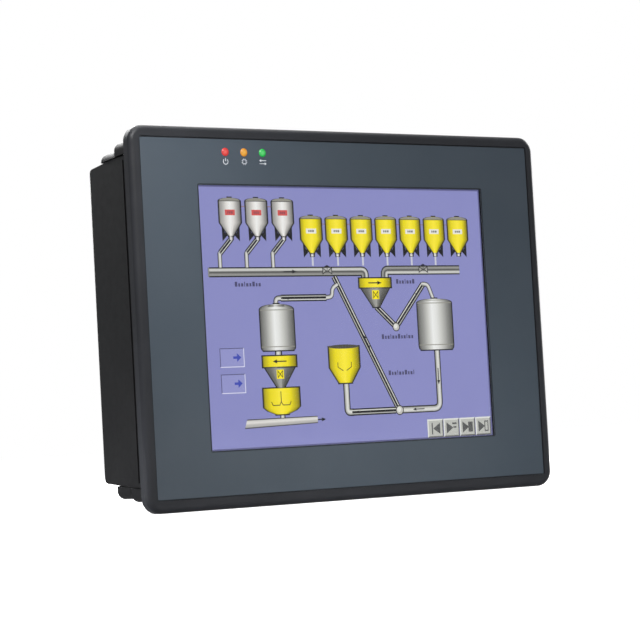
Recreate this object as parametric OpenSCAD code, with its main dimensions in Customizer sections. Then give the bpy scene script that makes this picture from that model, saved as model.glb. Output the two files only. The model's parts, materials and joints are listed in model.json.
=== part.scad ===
// Panel-mount operator terminal with a touch display, laid out as it comes apart on a bench.
// X runs to the right seen from the front, Y into the cabinet and Z up.
// The origin is the centre of the plane that seats on the cabinet's panel. All sizes are in millimetres.

/* [Display] */
// Width of the lit picture
display_w = 211.2; // [190:0.2:260]
// Height of the lit picture
display_h = 158.4; // [140:0.2:200]
// Height of the picture's centre above the bezel's centre
display_dz = -0.15; // [-2:0.05:2]
// Thickness of the touch screen's glass
touch_t = 1.1; // [0.8:0.1:1.2]
// Width of touch glass beyond the picture, each side
touch_border = 7; // [6:0.5:10]
// Thickness of the foam frame behind the touch glass
gasket_t = 0.5; // [0.3:0.1:0.8]
// Width of the display module beyond the picture, each side
module_side = 15.9; // [13:0.1:17]
// Height of the display module beyond the picture, top and bottom
module_end = 12.8; // [11:0.1:14]
// Depth of the display module
module_t = 10; // [9:0.5:12]
// Sheet thickness of the display module's steel frame
module_sheet = 0.4; // [0.3:0.1:0.6]
// Thickness of the liquid crystal cell
cell_t = 2.2; // [1.4:0.1:2.6]

/* [Front bezel] */
// Overlay film showing beside the picture, each side
side_border = 39; // [36:0.25:50]
// Overlay film showing above and below the picture
end_border = 27.75; // [26:0.05:36]
// Width of the raised rim at the overlay's sides
rim_side = 6.5; // [6.2:0.05:9]
// Width of the raised rim above and below the overlay
rim_end = 7.1; // [6.5:0.05:9]
// Radius of the bezel's corners seen from the front
bezel_r = 10; // [8:0.5:18]
// Radius of the rim's rounded front edge
rim_round = 3.5; // [2:0.25:4.5]
// Height of the rim's crest above the overlay
rim_rise = 0.6; // [0.3:0.1:1]
// Depth from the overlay's face to the cabinet's panel
bezel_t = 7.2; // [6.4:0.1:9]
// Thickness of the overlay film
overlay_t = 0.25; // [0.15:0.05:0.4]
// Radius of the overlay's corners
overlay_r = 1.5; // [0.5:0.25:4]
// Height of the overlay's centre above the bezel's centre
overlay_dz = 0.35; // [-0.5:0.05:0.5]
// Depth of the rebate behind the bezel that the housing stands in
rebate = 0.5; // [0.3:0.1:0.8]
// Width of the panel seal
seal_w = 3.5; // [2.5:0.25:3.75]
// Depth of the panel seal in its groove
seal_t = 2; // [1:0.25:2.5]
// Distance from the bezel's edge to the seal
seal_inset = 1.8; // [1.5:0.1:2]

/* [Indicator lamps] */
// Radius of each lamp lens
lamp_r = 2.5; // [1.5:0.1:2.8]
// Spacing of the lamps
lamp_pitch = 13.2; // [9:0.1:15]
// Distance from the overlay's left edge to the first lamp
lamp_left = 58.9; // [30:0.1:80]
// Distance from the overlay's top edge to the lamps
lamp_drop = 8.2; // [8:0.1:9]

/* [Housing] */
// Distance from the bezel's edge to the housing's side
housing_side = 6.1; // [6:0.1:9]
// Distance from the bezel's edge to the housing's top and bottom
housing_end = 7; // [6.9:0.05:9]
// Radius of the housing's corners
housing_r = 5; // [4:0.5:8]
// Depth of the housing's front step
front_depth = 23.8; // [23.8:0.1:40]
// Depth of the housing's second step
step_depth = 17.5; // [17:0.1:24]
// Step down at the top between the two
step_top = 4.6; // [1:0.1:4.8]
// Step up at the bottom between the two
step_low = 1.9; // [1:0.1:4.8]
// Step inward at the sides between the two
step_side = 0.25; // [0.1:0.05:1]
// Wall thickness of the mouldings
wall = 2.5; // [2:0.1:3]

/* [Rear cover] */
// Thickness of the cheeks that run forward beside the housing
cheek_t = 3.6; // [3:0.1:4]
// How far the cheeks sit below the housing's sides
cheek_set = 0.3; // [0.1:0.1:0.6]
// Distance from the housing's top and bottom to the cover's
cover_end = 7.3; // [6.5:0.1:10]
// Depth of the cover behind the housing
rear_depth = 18.2; // [18:0.1:30]
// Thickness of the cover's rear wall
rear_wall = 3; // [2.8:0.1:4]
// Draft of each side from front to rear
side_draft = 1; // [0:0.1:2]
// Draft of the top and bottom from front to rear
end_draft = 4.2; // [0:0.1:4.5]
// Radius of the cover's edges
cover_r = 3.5; // [3:0.25:6]
// Depth of the shallow panel pressed into each cheek
strip_deep = 0.8; // [0.4:0.1:1.2]
// Length of that panel from the bezel back
strip_long = 14; // [8:1:22]
// Number of vent slots in the rear wall
vents = 19; // [3:2:21]
// Spacing of the vent slots
vent_pitch = 9; // [7:0.5:10]
// Width of a vent slot
vent_w = 3; // [2:0.5:4]
// Height of a vent slot
vent_h = 26; // [10:1:30]

/* [Chassis and boards] */
// Thickness of the chassis plate
chassis_t = 1.5; // [1:0.1:2]
// Distance of the chassis plate behind the panel plane
chassis_y = 14; // [13:0.5:15]
// Thickness of the circuit boards
board_t = 1.6; // [1:0.1:1.8]
// Height of the main board's standoffs
standoff_h = 8; // [6:0.5:8.5]
// Radius of the bosses behind the bezel
boss_r = 4.5; // [4:0.25:5]
// Radius of the case screws
case_screw_r = 1.5; // [1.25:0.05:1.75]
// Radial clearance round a fixed screw
screw_gap = 0.2; // [0.1:0.05:0.3]
// Across flats of the tie posts
post_flats = 7; // [6:0.5:7]

/* [Ports] */
// Distance from the cover's rear face to the ports' centre line
port_back = 10.2; // [10.2:0.1:14]
// Place of the power socket from the centre, to the left
power_left = 55; // [50:1:60]
// Place of the 25-way port from the centre, to the left
wide_left = 5; // [0:1:10]
// Place of the 9-way port from the centre, to the right
narrow_right = 45; // [42:1:50]
// Place of the earth stud from the centre, to the right
earth_right = 78; // [72:1:82]
// Depth of the recess that the ports stand in
port_recess = 3.4; // [3:0.1:4.5]
// Spacing of the jack posts on the 9-way port
narrow_pitch = 24.99; // [24.99:0.01:25]
// Spacing of the jack posts on the 25-way port
wide_pitch = 47.04; // [47.04:0.01:47.05]
// Radius of the tapped hole in a jack post
jack_hole_r = 1.3; // [1.2:0.05:1.4]
// Spacing of the power terminals
pole_pitch = 5.08; // [5:0.08:5.08]
// Radius of a wire entry
wire_r = 1.35; // [1:0.05:1.4]
// Radius of a terminal screw
terminal_screw_r = 1.25; // [1:0.05:1.3]
// How far a wire cage rises as its screw tightens
cage_travel = 1.2; // [0.6:0.1:1.2]
// Radius of the earth stud's free end
earth_r = 2; // [1.5:0.25:2.5]
// Length of the earth stud's free end
earth_free = 6.5; // [6:0.25:8]

/* [Card and service bay] */
// Height of the memory card slot's centre
card_z = 30; // [28:1:32]
// Width of the memory card
card_w = 42.8; // [42:0.1:43]
// Length of the memory card
card_l = 36.4; // [36:0.1:37]
// Thickness of the memory card
card_t = 3.3; // [3.2:0.1:3.4]
// Clearance round the memory card
card_gap = 0.4; // [0.3:0.05:0.5]
// Height of the service bay's centre
bay_z = -28; // [-30:1:-26]
// Height of the service bay
bay_h = 40; // [38:1:42]
// Width of the service bay
bay_w = 9; // [8.6:0.1:9.2]
// Thickness of the service door
door_t = 1.8; // [1.4:0.1:2]
// Gap between the door and its frame
door_gap = 0.35; // [0.3:0.05:0.5]
// Radius of the door's hinge pins
hinge_r = 0.6; // [0.5:0.05:0.7]
// Number of option switches
switches = 4; // [2:1:4]
// Spacing of the option switches
switch_pitch = 2.54; // [2.5:0.01:2.54]
// Travel of an option switch
switch_travel = 1.8; // [1:0.1:1.8]
// Radius of the reset plunger
reset_r = 1.75; // [1.5:0.05:2]

/* [Panel clamps] */
// Distance of each clamp from the centre line
clamp_x = 90; // [80:1:100]
// Radius of the clamp screw
clamp_r = 1.5; // [1.25:0.25:1.5]
// Height of the clamp screw above the housing
clamp_rise = 3.1; // [3:0.1:3.2]
// Width of a clamp bracket
clamp_w = 14; // [12:1:16]
// Length of a clamp bracket
clamp_l = 12; // [10:0.5:12]
// Gap between the panel plane and an open clamp pad
clamp_open = 6.2; // [5.7:0.1:6.5]
// Thickness of a clamp pad
pad_t = 3; // [2.5:0.1:3.5]
// Radius of a clamp pad
pad_r = 2.8; // [2.6:0.1:2.9]

/* [Fits] */
// Radial clearance of a running fit
run_gap = 0.05; // [0.02:0.01:0.08]
// Clearance round a piece that drops into place
seat_gap = 0.3; // [0.2:0.05:0.4]

/* [Hidden] */
$fn = 48;
slack = 1;                      // how far a cutting shape runs past the face that it cuts

// Outlines, seen from the front
overlay_w = display_w + 2 * side_border;
overlay_h = display_h + 2 * end_border;
bezel_w = overlay_w + 2 * rim_side;
bezel_h = overlay_h + 2 * rim_end;
touch_w = display_w + 2 * touch_border;
touch_h = display_h + 2 * touch_border;
module_w = display_w + 2 * module_side;
module_h = display_h + 2 * module_end;
housing_w = bezel_w - 2 * housing_side;
housing_h = bezel_h - 2 * housing_end;
step_w = housing_w - 2 * step_side;
step_h = housing_h - step_top - step_low;
step_dz = (step_low - step_top) / 2;
cover_w = housing_w - 2 * cheek_set;
cover_h = housing_h - 2 * cover_end;
cheek_in = cover_w / 2 - cheek_t;
room_w = 2 * (cheek_in - seat_gap - wall);
room_h = step_h - 2 * wall;

// Planes, from the front backwards
crest_y = -bezel_t - rim_rise;
overlay_y = -bezel_t;
touch_y = overlay_y + overlay_t;
gasket_y = touch_y + touch_t;
module_y = gasket_y + gasket_t;
cell_y = module_y + module_sheet;
module_back = module_y + module_t;
chassis_back = chassis_y + chassis_t;
main_y = chassis_back + standoff_h;
main_back = main_y + board_t;
step_y = front_depth + step_depth;
depth = step_y + rear_depth;
rear_in = depth - rear_wall;
io_back = step_y + 0.7;
io_y = io_back - board_t;
port_y = depth - port_back;

// The cover's outer faces lean in towards the rear
function side_x(y) = cover_w / 2 - side_draft * y / depth;
function end_z(y) = cover_h / 2 - end_draft * y / depth;
inner_x = side_x(depth) - wall;

// Screws and posts
boss_x = module_w / 2 + 8.5;
boss_z = module_h / 2;
post_x = boss_x + 1;
post_z = boss_z - 10;
standoff_x = 88;
standoff_z = [-75, -6, 56];
io_right = inner_x - 14.5;
board_w = 2 * (boss_x - boss_r - 20);
board_low = -(end_z(depth) - 11);

// Ports on the underside of the cover
port_z = port_recess - end_z(port_y);       // floor of the recess, facing down
port_in = port_z + wall;
poles = [-1, 0, 1];
power_x = -power_left;
plug_w = 3 * pole_pitch + 2.8;
plug_d = 10;
plug_top = port_z - 1.4;
plug_low = plug_top - 11.6;
plug_tongue = 9;
header_w = plug_w + 1.4;
header_d = 11.6;
header_top = port_z + 12;
cage_w = 4;
cage_l = 5.2;
cage_z = plug_low + 5;
cage_y = port_y - 3.8;
cage_room = 0.2;
pocket_y = cage_y + cage_l + cage_travel + cage_room;
narrow_x = narrow_right;
wide_x = -wide_left;
serial_ports = [[narrow_x, narrow_pitch], [wide_x, wide_pitch]];
narrow_w = 30.8;
wide_w = 53;
flange_d = 12.5;
flange_t = 1;
shell_d = 8.3;
shell_l = 6;
jack_flats = 5;
jack_l = 5;
jack_gap = 0.2;
earth_flats = 7;
earth_nut_h = 3.2;
earth_neck = 0.3;                // relief between the free end and the thicker shank
earth_shank_r = earth_r + 0.25;

// Memory card and service bay on the right-hand side
card_y = io_back + 1.9;
card_x = side_x(card_y) - 3.4;
slot_rail = 2;
bay_front = io_back + 1.4;
bay_back = bay_front + bay_w;
bay_mid = (bay_front + bay_back) / 2;
bay_skin = 1.5;
bay_floor = inner_x - 10;
door_out = side_x(bay_back + 2) - 0.3;
door_in = door_out - door_t;
hinge_x = (door_out + door_in) / 2;
hinge_y = bay_back + door_t / 2 + 0.1;
door_front = bay_front - 0.5;
door_low = bay_z - bay_h / 2 - 1.2;
door_high = bay_z + bay_h / 2 + 1.2;
pin_l = 1.6;
// the frame that the door closes into, and the plane that the tray behind it seats on
frame_front = door_front - door_gap;
frame_back = hinge_y + door_t / 2 + door_gap;
frame_low = door_low - door_gap;
frame_high = door_high + door_gap;
frame_x = door_in - seat_gap;
flange = 1.5;
dip_z = bay_z - 10;
dip_w = 7;
dip_face = bay_floor + 3;
dip_h = switches * switch_pitch + 1.5;
slider_w = 1.3;
slider_l = 1.8;
slider_gap = 0.2;
reset_z = bay_z + 9;
reset_back = bay_floor - bay_skin - 0.3;

// Panel clamps: 1 and 2 on the top, 3 and 4 underneath
clamps = [[-1, 1], [1, 1], [-1, -1], [1, -1]];
clamp_y = front_depth - 0.8 - clamp_l;
clamp_h = 2 * clamp_rise;
clamp_tip = clamp_open + pad_t - 1.8;
clamp_head = clamp_tip + clamp_l + 10;
lug_w = 10;
lug_t = 3;
lug_y = clamp_y + (clamp_l - lug_t) / 2 + 1.5;
lug_l = step_top + wall;
lug_gap = 0.2;
head_r = 2.75;
head_h = 2.4;

// Colours
charcoal = "#33363b";
slate = "#5b6670";
jet = "#26272a";
zinc = "#b9bcc0";
steel = "#d0d2d4";
green_board = "#1f5a3c";
brass = "#c9a54a";

// ---------- Helpers ----------

// A rectangle with round corners, drawn in the XY plane
module round_rect(w, h, r) {
    square([w - 2 * r, h], center = true);
    square([w, h - 2 * r], center = true);
    for (sx = [-1, 1], sz = [-1, 1])
        translate([sx * (w / 2 - r), sz * (h / 2 - r)]) circle(r);
}

// Stands a flat outline up, its Y as height, and gives it the depth from y0 to y1
module slab(y0, y1) {
    translate([0, y1, 0]) rotate([90, 0, 0]) linear_extrude(y1 - y0) children();
}

// A plain block between two corners
module block(low, high) {
    translate(low) cube(high - low);
}

// Rods along each axis
module rod_y(r, y0, y1) {
    translate([0, y0, 0]) rotate([-90, 0, 0]) cylinder(r = r, h = y1 - y0);
}
module rod_x(r, x0, x1) {
    translate([x0, 0, 0]) rotate([0, 90, 0]) cylinder(r = r, h = x1 - x0);
}
module rod_z(r, z0, z1) {
    translate([0, 0, z0]) cylinder(r = r, h = z1 - z0);
}

// Hexagons given by their width across flats
module hex_y(flats, y0, y1) {
    translate([0, y0, 0]) rotate([-90, 0, 0])
        cylinder(r = flats / 2 / cos(30), h = y1 - y0, $fn = 6);
}
module hex_z(flats, z0, z1) {
    translate([0, 0, z0]) cylinder(r = flats / 2 / cos(30), h = z1 - z0, $fn = 6);
}

// Copies to four corners about the centre
module corners(x, z) {
    for (sx = [-1, 1], sz = [-1, 1]) translate([sx * x, 0, sz * z]) children();
}

// ---------- Front ----------

// Half the section of the bezel's plate: flat at the back, rounded at the front edge
module rim_section(half) {
    t = -crest_y;
    square([half - rim_round, t]);
    translate([0, rim_round]) square([half, t - rim_round]);
    translate([half - rim_round, rim_round]) circle(rim_round);
}

// The bezel's outer form, with its front edge rounded all the way round
module bezel_form() {
    straight_w = bezel_w - 2 * bezel_r;
    straight_h = bezel_h - 2 * bezel_r;
    corners(straight_w / 2, straight_h / 2)
        translate([0, crest_y, 0]) rotate([-90, 0, 0]) rotate_extrude() intersection() {
            rim_section(bezel_r);
            square([bezel_r, -crest_y]);
        }
    for (side = [0, 1]) mirror([side, 0, 0])
        translate([0, crest_y, -straight_h / 2]) linear_extrude(straight_h) rim_section(bezel_w / 2);
    for (side = [0, 1]) mirror([0, 0, side])
        translate([-straight_w / 2, crest_y, 0]) rotate([90, 0, 90]) linear_extrude(straight_w)
            mirror([1, -1]) rim_section(bezel_h / 2);
}

function lamp_x(i) = -overlay_w / 2 + lamp_left + i * lamp_pitch;
lamp_z = overlay_dz + overlay_h / 2 - lamp_drop;
lamp_room = 3.2;

module front_bezel() {
    color(charcoal) difference() {
        union() {
            difference() {
                bezel_form();
                slab(-rebate, slack) round_rect(housing_w + 2 * seat_gap, housing_h + 2 * seat_gap,
                    housing_r + seat_gap);
            }
            corners(boss_x, boss_z) rod_y(boss_r, -rebate - slack, chassis_y);
        }
        translate([0, 0, overlay_dz]) slab(crest_y - slack, touch_y)
            round_rect(overlay_w + seat_gap, overlay_h + seat_gap, overlay_r + seat_gap / 2);
        translate([0, 0, display_dz]) slab(crest_y, slack)
            square([touch_w + 2 * seat_gap, touch_h + 2 * seat_gap], center = true);
        translate([0, 0, display_dz]) slab(module_y, slack)
            square([module_w + 2 * seat_gap, module_h + 2 * seat_gap], center = true);
        block([lamp_x(0) - 7, module_y, lamp_z - 5], [lamp_x(2) + 7, slack, lamp_z + lamp_room]);
        for (i = [0:2]) translate([lamp_x(i), 0, lamp_z]) rod_y(lamp_r + run_gap, crest_y, 0);
        slab(-seal_t, slack) difference() {
            round_rect(bezel_w - 2 * seal_inset, bezel_h - 2 * seal_inset, bezel_r - seal_inset);
            round_rect(bezel_w - 2 * (seal_inset + seal_w), bezel_h - 2 * (seal_inset + seal_w),
                bezel_r - seal_inset - seal_w);
        }
        corners(boss_x, boss_z) rod_y(case_screw_r + run_gap, 2, chassis_y + slack);
    }
}

module front_overlay() {
    color(slate) difference() {
        translate([0, 0, overlay_dz]) slab(overlay_y, touch_y)
            round_rect(overlay_w, overlay_h, overlay_r);
        translate([0, 0, display_dz]) slab(overlay_y - slack, touch_y + slack)
            square([display_w, display_h], center = true);
        for (i = [0:2]) translate([lamp_x(i), 0, lamp_z])
            rod_y(lamp_r + run_gap, overlay_y - slack, touch_y + slack);
    }
}

module touch_screen() {
    color("#9fb4c6", 0.4) translate([0, 0, display_dz]) slab(touch_y, gasket_y)
        square([touch_w, touch_h], center = true);
}

module touch_gasket() {
    color(jet) translate([0, 0, display_dz]) slab(gasket_y, module_y) difference() {
        square([touch_w, touch_h], center = true);
        square([display_w + 2, display_h + 2], center = true);
    }
}

module lcd_frame() {
    color(zinc) translate([0, 0, display_dz]) difference() {
        slab(module_y, module_back) square([module_w, module_h], center = true);
        slab(cell_y, module_back + slack)
            square([module_w - 2 * module_sheet, module_h - 2 * module_sheet], center = true);
        slab(module_y - slack, module_back)
            square([display_w + 2, display_h + 2], center = true);
    }
}

cell_border = 2.6;
module lcd_cell() {
    color("#8d8bc5") translate([0, 0, display_dz]) slab(cell_y, cell_y + cell_t)
        square([display_w + 2 * cell_border, display_h + 2 * cell_border], center = true);
}

module backlight_tray() {
    color("#e8e8e4") translate([0, 0, display_dz]) difference() {
        slab(cell_y, module_back)
            square([module_w - 4 * module_sheet, module_h - 4 * module_sheet], center = true);
        slab(cell_y - slack, cell_y + cell_t)
            square([display_w + 2 * cell_border + 0.4, display_h + 2 * cell_border + 0.4],
                center = true);
    }
}

module panel_seal() {
    color(jet) slab(-seal_t, 0) difference() {
        round_rect(bezel_w - 2 * seal_inset, bezel_h - 2 * seal_inset, bezel_r - seal_inset);
        round_rect(bezel_w - 2 * (seal_inset + seal_w), bezel_h - 2 * (seal_inset + seal_w),
            bezel_r - seal_inset - seal_w);
    }
}

// A lens with a shallow dome in front and a collar that stops it behind the bezel
module lamp_lens(i, tint) {
    dome = 1;
    dome_r = (lamp_r * lamp_r + dome * dome) / (2 * dome);
    lens_front = overlay_y;
    color(tint) translate([lamp_x(i), 0, lamp_z]) {
        rod_y(lamp_r, lens_front, module_y + 0.2);
        rod_y(lamp_room - 0.2, module_y, module_y + 1);
        intersection() {
            translate([0, lens_front - dome + dome_r, 0]) sphere(dome_r);
            rod_y(lamp_r, lens_front - dome, lens_front);
        }
    }
}
module red_lamp_lens() { lamp_lens(0, "#d8504a"); }
module amber_lamp_lens() { lamp_lens(1, "#d59a35"); }
module green_lamp_lens() { lamp_lens(2, "#39b85a"); }

module lamp_board() {
    front = -1.6;
    color(green_board) {
        block([lamp_x(0) - 6.5, front, lamp_z - 4.8], [lamp_x(2) + 6.5, front + 1, lamp_z + 2.9]);
        for (i = [0:2]) translate([lamp_x(i), 0, lamp_z]) rod_y(1.5, module_y + 1.4, front);
    }
}

// ---------- Housing ----------

// The room that the cover's cheek takes up beside the housing
module cheek_room() {
    y0 = -slack;
    y1 = step_y + slack;
    translate([cheek_in - seat_gap, 0, 0]) rotate([90, 0, 90]) linear_extrude(bezel_w)
        polygon([[y0, end_z(y0) + seat_gap], [y1, end_z(y1) + seat_gap],
            [y1, -end_z(y1) - seat_gap], [y0, -end_z(y0) - seat_gap]]);
}

module main_housing() {
    color(jet) difference() {
        union() {
            slab(-rebate, front_depth) round_rect(housing_w, housing_h, housing_r);
            translate([0, 0, step_dz]) slab(-rebate, step_y) round_rect(step_w, step_h, housing_r);
        }
        for (side = [0, 1]) mirror([side, 0, 0]) cheek_room();
        translate([0, 0, step_dz]) slab(-slack, step_y - wall) round_rect(room_w, room_h, wall);
        slab(0, step_y + slack)
            square([2 * (post_x + post_flats - 1.5), 2 * (end_z(step_y) - 2 * wall)], center = true);
        for (c = clamps) at_clamp(c)
            block([-lug_w / 2 - lug_gap, lug_y - lug_gap, -lug_l - slack],
                [lug_w / 2 + lug_gap, lug_y + lug_t + lug_gap, slack]);
    }
}

// The cover's solid form from y0 back: drafted, with rounded rear edges
module cover_form(inset, y0, y1) {
    half_w = side_x(0) - inset;
    half_h = end_z(0) - inset;
    rear_w = side_x(depth) - inset;
    rear_h = end_z(depth) - inset;
    r = max(cover_r - inset, 1);
    intersection() {
        slab(y0, y1) round_rect(2 * half_w, 2 * half_h, r);
        translate([0, 0, -half_h]) linear_extrude(2 * half_h) drafted(half_w, rear_w, y1, r);
        translate([-half_w, 0, 0]) rotate([90, 0, 90]) linear_extrude(2 * half_w)
            mirror([1, -1]) drafted(half_h, rear_h, y1, r);
    }
}

// Half-widths at the front and rear of a section whose two rear corners are rounded
module drafted(front, rear, y1, r) {
    lean = atan((front - rear) / depth);
    // the arc's centre stands off the leaning side and the rear face by its radius
    cy = y1 - r;
    cx = front - (front - rear) * cy / depth - r / cos(lean);
    touch = [cx + r * cos(lean), cy + r * sin(lean)];
    for (side = [0, 1]) mirror([side, 0]) {
        polygon([[0, 0], [front, 0], touch, [cx, y1], [0, y1]]);
        translate([cx, cy]) circle(r);
    }
}

// Cuts in the cover's rear wall for its four screws
module cover_screw_holes() {
    corners(post_x, post_z) {
        rod_y(case_screw_r + screw_gap, step_y, depth + slack);
        rod_y(case_screw_r * 2 + 0.4, depth - 1.9, depth + slack);
    }
}

// A cut-out for a port, through the floor of the recess
module port_cut(x, w, d) {
    translate([x, port_y, 0]) block([-w / 2, -d / 2, -bezel_h], [w / 2, d / 2, port_in + slack]);
}

port_left = power_x - header_w / 2 - 6;
port_right = earth_right + 10;
port_front = port_y - flange_d / 2 - 0.6;
port_rear = port_y + flange_d / 2 + 0.4;

module rear_cover() {
    color("#2c2d30") difference() {
        union() {
            difference() {
                cover_form(0, seat_gap, depth);
                cover_form(wall, step_y, rear_in);
                // the housing stands between the cheeks
                block([-cheek_in, -slack, -bezel_h], [cheek_in, step_y, bezel_h]);
            }
            intersection() {
                block([port_left - wall, io_back + 0.4, -bezel_h],
                    [port_right + wall, rear_in + slack, port_in]);
                cover_form(0, seat_gap, depth);
            }
            // thicker wall round the service door
            intersection() {
                block([frame_x, frame_front - flange, frame_low - pin_l - flange],
                    [cover_w, frame_back + flange, frame_high + pin_l + flange]);
                cover_form(0, step_y, depth);
            }
        }
        // shallow panels in the cheeks beside the bezel
        for (side = [-1, 1]) translate([side * side_x(0), 0, 0])
            cube([2 * strip_deep, 2 * strip_long, cover_h - 8], center = true);
        cover_screw_holes();
        // vents
        for (i = [0:vents - 1]) translate([(i - (vents - 1) / 2) * vent_pitch, 0, 0])
            block([-vent_w / 2, rear_in - slack, end_z(depth) - 14 - vent_h],
                [vent_w / 2, depth + slack, end_z(depth) - 14]);
        // seat of the rating plate
        translate([plate_x, 0, plate_z]) slab(depth - plate_t, depth + slack)
            round_rect(plate_w + 0.4, plate_h + 0.4, plate_r + 0.2);
        // recess for the ports, and the cut-outs in its floor
        block([port_left, port_front, -bezel_h], [port_right, port_rear, port_z]);
        port_cut(power_x, header_w + 0.4, header_d + 0.4);
        for (p = serial_ports) {
            port_cut(p[0], p[1] - 5, flange_d - 1.2);
            for (s = [-1, 1]) translate([p[0] + s * p[1] / 2, port_y, 0])
                rod_z(jack_hole_r + jack_gap, -bezel_h, 0);
        }
        translate([earth_right, port_y, 0]) rod_z(earth_shank_r + screw_gap, -bezel_h, 0);
        // memory card slot with a scoop for the finger
        block([card_x - 4, card_y - card_gap, card_z - card_w / 2 - card_gap],
            [cover_w, card_y + card_t + card_gap, card_z + card_w / 2 + card_gap]);
        translate([side_x(card_y) + 3, card_y + card_t / 2, card_z]) rotate([90, 0, 0])
            cylinder(r = 9, h = 9, center = true);
        // frame of the service door, room for the tray behind it, and the hinge holes
        block([frame_x - slack, frame_front, frame_low], [cover_w, frame_back, frame_high]);
        block([bay_floor, frame_front - flange_in - seat_gap, frame_low - flange - seat_gap],
            [frame_x, frame_back + flange + seat_gap, frame_high + flange + seat_gap]);
        translate([hinge_x, hinge_y, 0])
            rod_z(hinge_r + run_gap, frame_low - pin_l, frame_high + pin_l);
    }
}

module chassis_plate() {
    color(zinc) difference() {
        union() {
            translate([0, 0, step_dz]) slab(chassis_y, chassis_back) round_rect(room_w - 3, room_h - 3, 6);
            corners(module_w / 2 - 14, module_h / 2 - 14)
                block([-5, module_back, -5], [5, chassis_back, 5]);
        }
        corners(boss_x, boss_z) rod_y(case_screw_r + screw_gap, 0, depth);
        block([-ribbon_w / 2 - 1, chassis_y - slack, ribbon_z - 1.5],
            [ribbon_w / 2 + 1, chassis_back + slack, ribbon_z + 1.8]);
        for (i = [-3:3], k = [-1, 1]) translate([i * 26, 0, k * 30]) rod_y(5, 0, depth);
    }
}

module tie_posts() {
    color(steel) corners(post_x, post_z) difference() {
        hex_y(post_flats, chassis_back, rear_in);
        rod_y(case_screw_r + run_gap, rear_in - 10, rear_in + slack);
    }
}

// A pan-head screw along Y: its shank from y0, its head from y1
module case_screw(y0, y1) {
    difference() {
        union() {
            rod_y(case_screw_r, y0, y1 + 0.1);
            rod_y(case_screw_r * 2, y1, y1 + 1.8);
        }
        for (turn = [0, 90]) rotate([0, turn, 0])
            block([-0.4, y1 + 0.8, -1.9], [0.4, y1 + 3, 1.9]);
    }
}
module chassis_screws() {
    color(steel) corners(boss_x, boss_z) case_screw(4, chassis_back);
}
module cover_screws() {
    color("#55575a") corners(post_x, post_z) case_screw(rear_in - 8, depth - 1.9);
}

// ---------- Boards ----------

module standoff_holes() {
    for (sx = [-1, 1], z = standoff_z) translate([sx * standoff_x, 0, z])
        rod_y(1.6, 0, depth);
}

main_top = 64;
module main_board() {
    color(green_board) difference() {
        block([-board_w / 2, main_y, board_low], [board_w / 2, main_back, main_top]);
        standoff_holes();
    }
}

// Chips, a finned heat sink and capacitors on the main board
module board_chips() {
    color("#3a3c40") {
        for (c = [[-60, 30, 26, 26], [-20, -30, 18, 18], [20, -30, 18, 18], [55, 25, 22, 14],
            [55, -5, 22, 14], [-62, -40, 14, 20]])
            translate([c[0], 0, c[1]])
                block([-c[2] / 2, main_back, -c[3] / 2], [c[2] / 2, main_back + 2.2, c[3] / 2]);
        translate([-10, 0, 25]) {
            block([-18, main_back, -18], [18, main_back + 3, 18]);
            for (i = [-4:4]) translate([i * 4.2, 0, 0])
                block([-0.6, main_back, -18], [0.6, main_back + 10, 18]);
        }
        for (i = [0:3]) translate([-40 + i * 14, 0, -62]) rod_y(4, main_back, main_back + 11);
    }
}

// Standoffs that carry the main board, and the input and output board behind it
module board_standoffs() {
    color(brass) for (sx = [-1, 1], z = standoff_z) translate([sx * standoff_x, 0, z]) {
        hex_y(5, chassis_back, main_y);
        rod_y(1.25, main_y - 1, io_back + 1);
        hex_y(5, main_back, io_y);
        hex_y(5, io_back, io_back + 2);
    }
}

module io_board() {
    color(green_board) difference() {
        block([-board_w / 2 + 4, io_y, board_low], [io_right, io_back, 62]);
        standoff_holes();
    }
}

module inverter_board() {
    left = -boss_x + 3;
    color(green_board) {
        block([left, chassis_back + 3, -60], [left + 14, chassis_back + 4.6, 60]);
        for (z = [-52, 52]) translate([left + 7, 0, z]) rod_y(2.5, chassis_back, chassis_back + 3.5);
        block([left + 2, chassis_back + 4, -24], [left + 12, chassis_back + 13, 0]);
        block([left + 2, chassis_back + 4, 20], [left + 12, chassis_back + 9, 34]);
    }
}

ribbon_w = 30;
ribbon_t = 0.3;
ribbon_z = main_top + 2;
// The flat cable from the display module through the chassis to the main board
module display_ribbon() {
    front = module_back + 1.5;
    back = main_back + 2.2;
    low = main_top - 8;
    half = ribbon_w / 2;
    color("#d9c27a") {
        block([-half, front, low], [half, front + ribbon_t, ribbon_z + ribbon_t]);
        block([-half, front, ribbon_z], [half, back + ribbon_t, ribbon_z + ribbon_t]);
        block([-half, back, low], [half, back + ribbon_t, ribbon_z + ribbon_t]);
        block([-half, module_back, low], [half, front + 0.1, low + 5]);
        block([-half, main_back, low], [half, back + 0.1, low + 5]);
    }
}

// ---------- Ports ----------

module power_header() {
    color("#2f6b45") translate([power_x, port_y, 0]) difference() {
        union() {
            block([-header_w / 2, -header_d / 2, port_z - 1], [header_w / 2, header_d / 2, header_top]);
            block([-header_w / 2 + 2, io_back - port_y, port_z + 4], [header_w / 2 - 2, 0, header_top]);
        }
        difference() {
            block([-plug_w / 2 + 0.6, -plug_d / 2 + 0.6, port_z - 2],
                [plug_w / 2 - 0.6, plug_d / 2 - 0.6, plug_top + plug_tongue + 0.6]);
            for (i = poles) translate([i * pole_pitch, 0, 0])
                block([-0.5, -0.5, port_z + 1], [0.5, 0.5, header_top]);
        }
    }
}

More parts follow.
